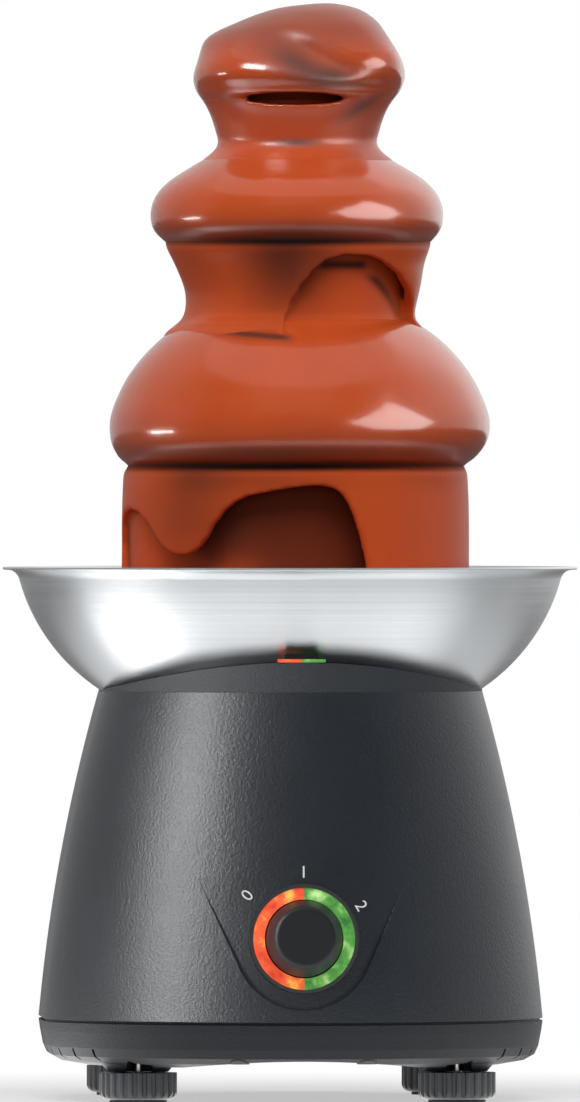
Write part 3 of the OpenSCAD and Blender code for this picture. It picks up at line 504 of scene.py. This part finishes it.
def flowed(bm, name, voxel, cutter=None, behind=None):
    """Cut the opening, add what lies behind it and round everything off."""
    piece = rest(bm, name)
    if cutter:
        modified(piece, ("BOOLEAN", {"object": cutter, "operation": "DIFFERENCE", "solver": "EXACT"}))
        bpy.data.objects.remove(cutter)
    if behind:
        behind.from_mesh(piece.data)
        behind.to_mesh(piece.data)
        behind.free()
    return modified(piece, ("REMESH", {"mode": "VOXEL", "voxel_size": voxel, "use_smooth_shade": True}),
                    ("SMOOTH", {"factor": 0.5, "iterations": SOFTENING}))


def painted(piece, **rules):
    """Keep a number from 0 to 1 at each point, from its heading, height and distance from the axis."""
    for name, rule in rules.items():
        numbers = piece.data.attributes.new(name, "FLOAT", "POINT").data
        for vertex, number in zip(piece.data.vertices, numbers):
            co = vertex.co
            number.value = min(1.0, max(0.0, rule(heading(co), co.z / MM, math.hypot(co.x, co.y) / MM)))
    return piece


def ripple(co, size, height):
    """A slow unevenness along the surface, the same in every run."""
    return height * noise.noise(Vector((co.x, co.y, co.z * 0.4)) / size)


def outwards(co, amount):
    """Move a place away from the axis by an amount in millimetres."""
    reach = math.hypot(co.x, co.y)
    if reach < NEAR_AXIS:
        return co.copy()
    grow = 1 + amount * MM / reach
    return Vector((co.x * grow, co.y * grow, co.z))


print("flow helpers ready")

# %% [markdown]
# ## The lowest curtain
# It falls from the widest tier into the bowl. At the front it has a wide arched opening and a narrower one
# on the left, with a rounded tongue of chocolate hanging between them.

# %% Make the lowest curtain
LOWER_OUTER = smooth_run([
    (18.5, 273.5), (30, 273.4), (38, 272.4), (42, 270.6), (47.1, 267.2), (52.1, 262.8), (56, 258.6),
    (59.3, 254.3), (61.9, 250), (63.9, 245.8), (65.6, 241.6), (66.6, 237.4), (66.6, 233.2), (65.5, 229),
    (63.4, 225.6), (61.6, 223.4), (60.4, 221.4), (60.2, 218.5), (60.5, 210), (60.6, 200), (60.6, 190),
    (60.6, 180), (60.6, 168.4)])
LOWER_OPENING = [
    (-33.7, 191.6), (-30.6, 194.7), (-26.8, 201), (-23, 205.9), (-18.9, 209.1), (-14, 211.2), (-5.3, 212.9),
    (3, 214.2), (9, 214.6), (14.5, 213.8), (18, 211), (21, 205.6), (23, 200), (24.6, 195), (26.4, 187),
    (27.5, 178), *[(a, 160) for a in range(27, -90, -9)], (-88, 187), (-90, 194), (-87, 201), (-80, 205),
    (-72, 206.3), (-66, 205.6), (-60, 203.3), (-55, 200.6), (-51.5, 196.5), (-47.5, 193.3), (-44, 191.4),
    (-41, 190.4), (-37, 190.3)]
LOWER_BEHIND = [(46, 223), (46, 168.4), (42, 168.4), (42, 223)]
LOWER_VOXEL = 0.0009
# The flow ends at the first height and its curtain starts at the second, so that the two overlap.
LOWER_FLOW_END, LOWER_CURTAIN_START = 220.4, 222


def lower_flow(co):
    """Move a point of the lowest flow: a crease under the lip, soft runs, folds and the tongue."""
    angle, z = heading(co), co.z / MM
    front = hill(0, 55, angle)
    crease = -4.6 * hill(221.4, 1.5, z) * (0.25 + 0.75 * hill(0, 65, angle))
    folds = 0.5 * math.sin(math.radians(angle * 5)) * step(222, 212, z)
    runs = ripple(co, 0.030, 0.5) * step(275, 262, z) + folds
    tongue = 1.6 * hill(-39, 9, angle) * step(215, 200, z)
    moved_out = outwards(co, crease + runs + tongue)
    moved_out.x += (1.4 + 2.0 * step(212, 236, z)) * MM
    moved_out.z += 0.5 * MM * front * math.sin(math.radians(angle * 2)) * step(228, 216, z)
    return moved_out


def lower_painted_shade(angle, z, reach):
    """How much painted shade darkens the lowest flow at a place: in the crease, under the lip, below them, on
    the curtain by the tongue, inside, and in the shadow of the middle curtain's foot.
    """
    front = hill(-5, 60, angle)
    inside = step(57.5, 56.5, reach) * step(224, 219, z)
    crease = (0.55 + 0.45 * front) * hill(221.2, 1.5, z)
    under_lip = (0.34 + 0.34 * hill(-12, 34, angle)) * hill(226, 3.6, z)
    tongue = 0.50 * hill(-36, 16, angle) * step(176, 206, z) * step(224, 219, z)
    below = tongue + 0.30 * hill(-8, 30, angle) * hill(217, 5, z)
    # Painted shadow that the foot of the middle curtain casts onto the lowest flow.
    foot = 0.85 * step(-50, -22, angle) * step(4, -4, angle) * hill(267.4 - 0.07 * (angle + 20), 1.3, z)
    # Inside the curtain the colour is painted dark as shade, less so low on the left and far on the left.
    deep = inside * (0.72 - 0.72 * hill(-24, 12, angle) * step(196, 176, z) - 0.75 * hill(-68, 20, angle))
    return 1 - math.prod(1 - share for share in (crease, under_lip, below, foot, deep))


def lower_behind(co):
    """The film behind the openings comes near the curtain on the left, and swells low in front."""
    angle, z = heading(co), co.z / MM
    glow = 6.0 * hill(-22, 13, angle) * step(194, 172, z)
    return outwards(co, 10.2 * hill(-84, 32, angle) + glow + ripple(co, 0.02, 0.8))


lower = moved(spun(wall([p for p in LOWER_OUTER if p[1] > LOWER_FLOW_END])), lower_flow)
# The flow and its curtain keep painted shade at their points, which darkens their colour.
lower = painted(flowed(lower, "chocolate_lower_flow", LOWER_VOXEL), fold=lower_painted_shade)
dress(lower, melted, "tower", "chocolate", "chocolate_lower")
curtain = moved(spun(wall([p for p in LOWER_OUTER if p[1] < LOWER_CURTAIN_START])), lower_flow)
curtain = flowed(curtain, "chocolate_lower_curtain", LOWER_VOXEL, opening(LOWER_OPENING, near=44, far=76),
                 behind=moved(spun(LOWER_BEHIND), lower_behind))
painted(curtain, fold=lower_painted_shade, satin=lambda angle, z, reach: 1)
dress(curtain, falling, "tower", "chocolate")

# %% [markdown]
# ## The middle curtain
# It is narrower and draws in as it falls. On the right it has one wide arched opening that reaches round
# the side, and a ridge of chocolate ends in a drip at the opening's left foot.

# %% Make the middle curtain
MIDDLE_OUTER = smooth_run([
    (18, 333), (24, 332.6), (28.4, 331), (31.5, 329.3), (38.3, 325.4), (44.4, 321.4), (48.6, 317.2),
    (50.7, 313), (51.3, 308.8), (50.6, 304.8), (48.4, 301.2), (46.2, 297.6), (44, 292.8), (42.4, 287.8),
    (41, 282.5), (40.3, 278), (40.3, 275), (41, 272.6), (43, 270.5), (45.6, 268.2), (47, 265.4)])
MIDDLE_OPENING = [
    (-2.4, 266), (-2.8, 273.1), (0.2, 278.7), (5, 284.3), (10, 289.4), (16, 293.2), (24, 295.2), (38, 294.8),
    (50, 291.6), (61, 286.4), (71, 280.4), (77, 275.4), (78, 270.6),
    *[(a, 262) for a in range(77, 0, -11)]]
MIDDLE_BEHIND = [
    (37.2, 300), (36.4, 290), (35.8, 280), (36.2, 274), (38, 270.8), (41, 268.4), (34, 268), (32, 300)]
MIDDLE_VOXEL = 0.0008
MIDDLE_FLOW_END, MIDDLE_CURTAIN_START = 298.6, 300.6


def waist_shift(z):
    """The waist stands off the axis, to the right."""
    return Vector(((2.4 + 2.1 * hill(283, 11, z)) * MM, 0, 0))


def middle_flow(co):
    """Move a point of the middle flow: a crease, the ridge beside the opening, folds and the rim."""
    angle, z = heading(co), co.z / MM
    crease = -4.0 * hill(299.8, 1.6, z) * (0.15 + 0.85 * hill(-8, 58, angle))
    curtain = -1.0 * hill(292, 9, z) * hill(-8, 34, angle)
    ridge = 1.5 * hill(-5.5 + 0.35 * (z - 268), 3.0, angle) * step(297, 285, z)
    runs = ripple(co, 0.026, 0.5) * step(334, 324, z)
    folds = 0.45 * math.sin(math.radians(angle * 7)) * step(299, 288, z)
    rim = 1.5 * hill(271.6, 1.5, z) * step(-75, -50, angle) * step(5, -3, angle)
    return outwards(co, crease + curtain + ridge + runs + folds + rim) + waist_shift(z)


def middle_painted_shade(angle, z, reach):
    """How much painted shade darkens the middle flow at a place: in the crease, under the lip, on the waist,
    and as painted shadow under the top of its opening (the slot) and along its right edge (the line).
    """
    crease = (0.45 + 0.55 * hill(-2, 50, angle)) * hill(299.9, 1.6, z)
    under_lip = (0.30 + 0.38 * hill(2, 34, angle)) * hill(303.2, 3.0, z)
    waist = 0.72 * hill(-2, 23, angle) * step(262, 292, z) * step(302, 298, z)
    # The slot and the side are painted shadow, under the top edge and along the right edge of the opening.
    slot = 0.9 * step(13, 19, angle) * step(46, 40, angle) * hill(291.6, 1.5, z)
    side = 0.85 * hill(0, 5.5, angle - 45 - 1.9 * (289 - z)) * step(290, 286, z) * step(90, 50, angle)
    return 1 - math.prod(1 - share for share in (crease, under_lip, waist, slot, side))


middle = moved(spun(wall([p for p in MIDDLE_OUTER if p[1] > MIDDLE_FLOW_END])), middle_flow)
# The middle flow and its curtain keep painted shade at their points, which darkens their colour.
middle = painted(flowed(middle, "chocolate_middle_flow", MIDDLE_VOXEL), fold=middle_painted_shade)
dress(middle, melted, "tower", "chocolate", "chocolate_middle")
waist = moved(spun(wall([p for p in MIDDLE_OUTER if p[1] < MIDDLE_CURTAIN_START])), middle_flow)
waist = flowed(waist, "chocolate_middle_curtain", MIDDLE_VOXEL, opening(MIDDLE_OPENING, near=26, far=60),
               behind=moved(spun(MIDDLE_BEHIND), lambda co: co + waist_shift(co.z / MM)))
painted(waist, fold=middle_painted_shade, satin=lambda angle, z, reach: 0.8)
dress(waist, falling, "tower", "chocolate")

# %% [markdown]
# ## The cap
# On top the chocolate wells up over the crown as a lopsided cushion: a lobe on the left, a valley in the
# middle and a larger lobe on the right. Under its lip is a slit where the curtain has parted.

# %% Make the cap
CAP_OUTER = smooth_run([
    (0, 383.3), (6, 383.2), (12, 382.4), (19.4, 380.0), (25.9, 376), (29.6, 371.8), (32.5, 367.6),
    (35.2, 363.4), (36.8, 359.4), (36.9, 356), (35.6, 352.4), (32.4, 348), (30.2, 343.4), (28.7, 338.6),
    (27.8, 335), (28.4, 332.8), (30.4, 330.6), (33.4, 328.2), (35, 325.4)])
CAP_INNER = [
    (31, 325.4), (26, 330), (24, 333), (24, 336), (26.4, 343), (30, 350.6), (31.6, 355.6), (30, 360),
    (22, 363.2), (0, 364.4)]
CAP_SLIT = [
    (-34, 349.6), (-26, 350.8), (-12, 351.6), (4, 351.8), (20, 351.4), (32, 350.4), (39, 349.3), (26, 348.0),
    (8, 347.4), (-10, 347.6), (-24, 348.4)]


def cap_flow(co):
    """Move a point of the cap: two lobes with a valley between them, a crease and a rim."""
    angle, z = heading(co), co.z / MM
    high = step(352, 362, z)
    lobe_left = 3.4 * hill(-36, 27, angle) * hill(362, 9, z)
    valley = -4.4 * hill(14 - 2.6 * (z - 362), 17, angle) * hill(364, 8, z) * step(353, 361, z)
    lobe_right = 4.2 * hill(54, 22, angle) * hill(366, 9, z)
    fold = -0.8 * hill(40, 26, angle) * hill(354.2, 1.6, z)
    crease = -0.5 * hill(354.0, 1.6, z) * hill(-10, 60, angle)
    rim = 0.4 * hill(352.0, 1.2, z) * hill(4, 44, angle)
    shoulder = 3.4 * hill(-85, 45, angle) * hill(371, 6.5, z)
    lumps = lobe_left + shoulder + valley + lobe_right + fold + crease + rim
    moved_out = outwards(co, lumps + ripple(co, 0.014, 0.5) * high)
    lean = step(345, 384, z)
    moved_out.x += (2.6 + 2.1 * lean) * MM
    moved_out.z += 0.10 * co.x * step(368, 384, z) - 0.5 * MM * step(372, 384, z)
    return moved_out


def cap_painted_shade(angle, z, reach):
    """How much painted shade darkens the cap at a place: on its top, in the valley, wedge and crevice, at its
    foot, low on the right, and a painted dark spot for a small opening in shade low on its right.
    """
    # The top is painted darker, as if less light reached it; the valley, wedge, crevice, foot and lower right
    # are painted shade too.
    top = 0.40 * step(362, 374, z)
    valley = 0.78 * hill(4 - 1.6 * (z - 362), 17, angle) * hill(362, 8, z) * step(351, 355, z)
    wedge = 0.80 * hill(24, 17, angle) * hill(357, 4.2, z)
    crevice = 0.7 * hill(34, 17, angle) * hill(353.6, 0.9, z)
    painted_hole_shade = 0.75 * hill(0, 8, angle - 46 - 2.2 * (z - 346)) * hill(346.5, 5, z)
    foot = 0.8 * hill(4, 18, angle) * hill(334.2, 1.4, z)
    right = 0.3 * hill(60, 26, angle) * step(352, 347, z)
    return 1 - math.prod(1 - share for share in (top, valley, wedge, crevice, painted_hole_shade, foot, right))


cap = moved(spun(CAP_OUTER + CAP_INNER, steps=144), cap_flow)
cap = flowed(cap, "chocolate_cap_flow", 0.0008, opening(CAP_SLIT, near=28, far=48))
# The cap keeps painted shade at its points, which darkens its colour.
painted(cap, fold=cap_painted_shade, satin=lambda angle, z, reach: 0.6 * step(352, 347, z))
dress(cap, melted, "tower", "chocolate", "chocolate_cap")

# %% [markdown]
# ## The pool in the bowl
# The bowl is filled to two thirds. Where the curtain runs in, the surface rises into a soft ring, and slow
# ripples spread from it.

# %% Make the pool
POOL_BED = [(26.3, 138.7), (55, 138.7), (64, 141.8), (72, 147.2), (79, 154.4), (84.6, 162)]
POOL_TOP = [(87.6, 167.4), (84, 168.2), (78, 167.9), (70, 168.1), (64, 168.6), (58, 169.0), (50, 168.5),
            (40, 168.1), (30, 168.2), (22, 168.3)]
POOL_HOLE = [(20.2, 145.2), (26.3, 145.2)]


def pool_flow(co):
    """Slow ripples on the surface of the pool."""
    z = co.z / MM
    out = co.copy()
    out.z += step(160, 167, z) * 0.45 * MM * noise.noise(Vector((co.x, co.y, 0)) / 0.011)
    return out


pool = moved(spun(smooth_run(POOL_BED, 3) + smooth_run(POOL_TOP, 3) + POOL_HOLE), pool_flow)
dress(rest(pool, "chocolate_pool_surface"), melted, "base", "chocolate", "chocolate_pool")

# %% [markdown]
# ## Prints round the dial
# Three numbers stand for the positions of the knob. They are thin solids whose points are dropped onto the
# housing along the dial's axis, so they follow its curve. On the real ring a small mark shows the middle
# position. Here it lies inside the lens of the ring, a millimetre behind its face, so it can't be seen.

# %% Print the numbers and the mark
DIAL_CENTRE = Vector((0, -0.09862, 0.0575))
DIAL_AXIS = Vector((0, -0.998135, 0.061049))
DIAL_UP = Vector((0, 0.061049, 0.998135))
DIGIT_SIZE, DIGIT_HALF = 6.0, 0.1
DROP_HEIGHT, PRINT_OUT, PRINT_IN = 40, 0.06, -0.2
MARK_REACH, MARK_WIDTH, MARK_LENGTH, MARK_RISE, MARK_THICKNESS = 17, 2.6, 3.6, 5.1, 0.3
shell = BVHTree.FromObject(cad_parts["main_housing"], bpy.context.evaluated_depsgraph_get())


def on_dial(angle, reach, x=0.0, y=0.0, z=0.0):
    """A place on the dial, from the degrees from its top, the millimetres from its middle and an offset."""
    a = math.radians(angle)
    across = x * math.cos(a) + (reach + y) * math.sin(a)
    along = (reach + y) * math.cos(a) - x * math.sin(a)
    return DIAL_CENTRE + Vector((1, 0, 0)) * across * MM + DIAL_UP * along * MM + DIAL_AXIS * z * MM


def number(digit, angle, reach):
    """Make a digit of text into a thin solid that lies on the housing."""
    curve = bpy.data.curves.new("text", "FONT")
    curve.body, curve.size, curve.extrude = digit, DIGIT_SIZE, DIGIT_HALF
    curve.align_x, curve.align_y = "CENTER", "CENTER"
    holder = bpy.data.objects.new("text", curve)
    flat = bpy.data.meshes.new_from_object(holder)
    bpy.data.objects.remove(holder)
    bm = bmesh.new()
    bm.from_mesh(flat)
    bmesh.ops.remove_doubles(bm, verts=bm.verts, dist=0.001)
    bmesh.ops.triangulate(bm, faces=bm.faces)
    for v in bm.verts:
        start = on_dial(angle, reach, v.co.x, v.co.y, DROP_HEIGHT)
        hit = shell.ray_cast(start, -DIAL_AXIS)[0]
        v.co = hit + DIAL_AXIS * (PRINT_OUT if v.co.z > 0 else PRINT_IN) * MM
    bmesh.ops.recalc_face_normals(bm, faces=bm.faces)
    dress(rest(bm, "dial_number_" + digit, smooth=False), print_white, "base", "housing_plastic")


for digit, angle, reach in (("0", -52, 24.6), ("1", 0, 23.0), ("2", 60, 22.9)):
    number(digit, angle, reach)
mark = bmesh.new()
bmesh.ops.create_cube(mark, size=1)
moved(mark, lambda co: on_dial(0, MARK_REACH, MARK_WIDTH * co.x, MARK_LENGTH * co.y,
                               MARK_RISE + MARK_THICKNESS * co.z))
bmesh.ops.recalc_face_normals(mark, faces=mark.faces)
dress(rest(mark, "dial_index_mark", smooth=False), print_salmon, "base", "housing_plastic")

# %% [markdown]
# ## The studio
# The light for the shapes and the light for the reflections are kept apart, as with cards and flags on a
# real set. The floor is white for the camera and dark for the light that would bounce up, so the undersides
# of the lips stay dark. In reflections it has grey levels by heading, and they give the steel bowl its
# bright and its dull parts. A ring of panels that only reflections see closes the set.

# %% Floor and panels
FLOOR_RADIUS, PANEL_RADIUS, PANEL_HEIGHT = 3.0, 2.9, 4.0
SHADOW_START, SHADOW_FADE = 0.15, 0.5
STEEL_LIGHT_END, DULL_START = 0.34, 0.46


def around(finish):
    """The heading of a place, from 0 at the back over 0.5 in front to 1, and its distance from the axis."""
    split = finish.add("SeparateXYZ", Vector=finish.place(), output="X").output.node.outputs
    x, y = Wire(finish.tree, split[0]), Wire(finish.tree, split[1])
    return (x.math("ARCTAN2", x, 0 - y) + TURN) / math.tau + 0.5, (x ** 2 + y ** 2) ** 0.5


def panels(finish, *levels):
    """Grey levels at headings, given as (degrees, level)."""
    heading_share, away = around(finish)
    return finish.ramp(heading_share, *[(angle / 360 + 0.5, grey(level)) for angle, level in levels])


def only_seen_by(piece, diffuse=False, glossy=False):
    """Hide a piece or a lamp from the camera and from the kinds of rays that aren't named."""
    piece.visible_camera, piece.visible_diffuse, piece.visible_glossy = False, diffuse, glossy
    return piece


def stage_floor():
    """A round floor that looks different to the camera, to reflections and to bounced light."""
    bm = bmesh.new()
    bmesh.ops.create_circle(bm, cap_ends=True, segments=96, radius=FLOOR_RADIUS)
    floor = rest(bm, "floor", smooth=False)
    finish = Finish("floor", Roughness=0.9)
    rays = finish.add("LightPath", output="Is Camera Ray").output.node.outputs
    seen, bounced, mirrored = (Wire(finish.tree, rays["Is %s Ray" % kind])
                               for kind in ("Camera", "Diffuse", "Glossy"))
    finish.feed(Base_Color=finish.mix(bounced, grey(0.8), grey(0.1)))
    steel_light = panels(finish, (-180, 0.9), (-108, 0.9), (-95, 3.4), (-70, 3.4), (-52, 1.8), (70, 1.75),
                         (90, 0.75), (180, 0.75))
    away = around(finish)[1]
    far = finish.add("MapRange", {"clamp": True}, Value=away, From_Min=STEEL_LIGHT_END, From_Max=DULL_START)
    steel_light = finish.mix(far, steel_light, grey(0.15))
    white = finish.add("Emission", Color=finish.mix(mirrored, grey(1), steel_light))
    outer = (away - SHADOW_START) / SHADOW_FADE
    shown = seen * (outer.math("MAXIMUM", outer, 0.0) + 0.5) + mirrored
    blend = finish.add("MixShader", i0=shown.math("MINIMUM", shown, 1.0),
                       i1=Wire(finish.tree, finish.shader.outputs[0]), i2=white)
    finish.tree.links.new(blend.output, finish.tree.nodes["Material Output"].inputs["Surface"])
    floor.data.materials.append(finish.material)


def stage_panels():
    """A ring of glowing panels that only reflections see."""
    bm = bmesh.new()
    bmesh.ops.create_cone(bm, cap_ends=False, segments=96, radius1=PANEL_RADIUS, radius2=PANEL_RADIUS,
                          depth=PANEL_HEIGHT)
    ring = rest(moved(bm, lambda co: co + Vector((0, 0, PANEL_HEIGHT / 2))), "panels")
    finish = Finish("panels")
    light = panels(finish, (-180, 0.7), (-120, 0.5), (-60, 0.07), (40, 0.07), (90, 0.7), (140, 1.5),
                   (180, 0.8))
    glow = finish.add("Emission", Color=light)
    finish.tree.links.new(glow.output, finish.tree.nodes["Material Output"].inputs["Surface"])
    ring.data.materials.append(finish.material)
    only_seen_by(ring, glossy=True).visible_shadow = False


def surround(ambient, overhead):
    """White behind the object, a dim light from all round, and a grey ceiling for reflections."""
    world = bpy.data.worlds.new("studio")
    world.use_nodes = True
    bpy.context.scene.world = world
    tree = world.node_tree
    light = tree.nodes["Background"]
    light.inputs["Color"].default_value = (0.93, 0.96, 1.0, 1)
    light.inputs["Strength"].default_value = ambient
    path = tree.nodes.new("ShaderNodeLightPath")
    shown = light
    for ray, level in (("Is Glossy Ray", overhead), ("Is Camera Ray", 1.0)):
        plain = tree.nodes.new("ShaderNodeBackground")
        plain.inputs["Color"].default_value = grey(level)
        mix = tree.nodes.new("ShaderNodeMixShader")
        plug(tree, mix.inputs[0], Wire(tree, path.outputs[ray]))
        tree.links.new(shown.outputs[0], mix.inputs[1])
        tree.links.new(plain.outputs[0], mix.inputs[2])
        shown = mix
    tree.links.new(shown.outputs[0], tree.nodes["World Output"].inputs["Surface"])


stage_floor()
stage_panels()
surround(ambient=0.2, overhead=0.8)
print("floor, panels and surround ready")

# %% [markdown]
# ## The lamps
# Four soft boxes give the shapes their light: a large one high in front, a weak one low in front and one at
# each side. Four more are seen in reflections only, and light linking lets each reach only the pieces that
# need it. The right and the left box make the bright panes on the flows of chocolate, a tall narrow box
# makes the upright band on the housing, and one from the upper left gives the cap its shine.

# %% Lamps
def soft_box(name, azimuth, elevation, distance, width, height, power, roll=0, aim=(0, 0, 0.22)):
    """A lamp of the given size, at a heading as the camera sees it."""
    lamp = bpy.data.lights.new(name, "AREA")
    lamp.shape, lamp.size, lamp.size_y, lamp.energy = "RECTANGLE", width, height, power
    holder = bpy.data.objects.new(name, lamp)
    a, e = math.radians(azimuth) - TURN, math.radians(elevation)
    towards = Vector((math.sin(a) * math.cos(e), -math.cos(a) * math.cos(e), math.sin(e)))
    holder.location = Vector(aim) + towards * distance
    rolled = Matrix.Rotation(math.radians(roll), 3, "Z")
    holder.rotation_euler = (towards.to_track_quat("Z", "Y").to_matrix() @ rolled).to_euler()
    bpy.context.scene.collection.objects.link(holder)
    return holder


def reflected(lamp, pieces):
    """Let reflections in these pieces see a lamp, and nothing else."""
    only_seen_by(lamp, glossy=True)
    group = bpy.data.collections.new(lamp.name + "_lights")
    for piece in pieces:
        group.objects.link(piece)
    lamp.light_linking.receiver_collection = group


flows = [lower, middle, cap]
plain_parts = [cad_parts[name]
               for name in ("main_housing", "top_cover", "lamp_hood", "dial_bezel", "knob")]
only_seen_by(soft_box("key_box", -4, 44, 2.0, 1.5, 1.2, 28), diffuse=True)
only_seen_by(soft_box("front_fill", 0, 4, 2.2, 0.8, 0.5, 5), diffuse=True)
only_seen_by(soft_box("left_fill", -80, 18, 2.0, 0.8, 0.8, 11), diffuse=True)
only_seen_by(soft_box("right_fill", 80, 24, 2.0, 0.8, 0.8, 11), diffuse=True)
reflected(soft_box("right_box", 60, 8, 1.6, 1.3, 1.3, 34, roll=42), flows)
reflected(soft_box("left_box", -91, -10, 1.7, 0.6, 0.34, 17), flows)
reflected(soft_box("band_box", -59, 18, 1.7, 0.22, 1.5, 54, aim=(0, 0, 0.09)), plain_parts)
reflected(soft_box("cap_box", -34, 30, 1.7, 0.8, 0.6, 40, aim=(0, 0, 0.36)), [cap])
bpy.context.scene.view_settings.view_transform = "Standard"
print("lamps ready")
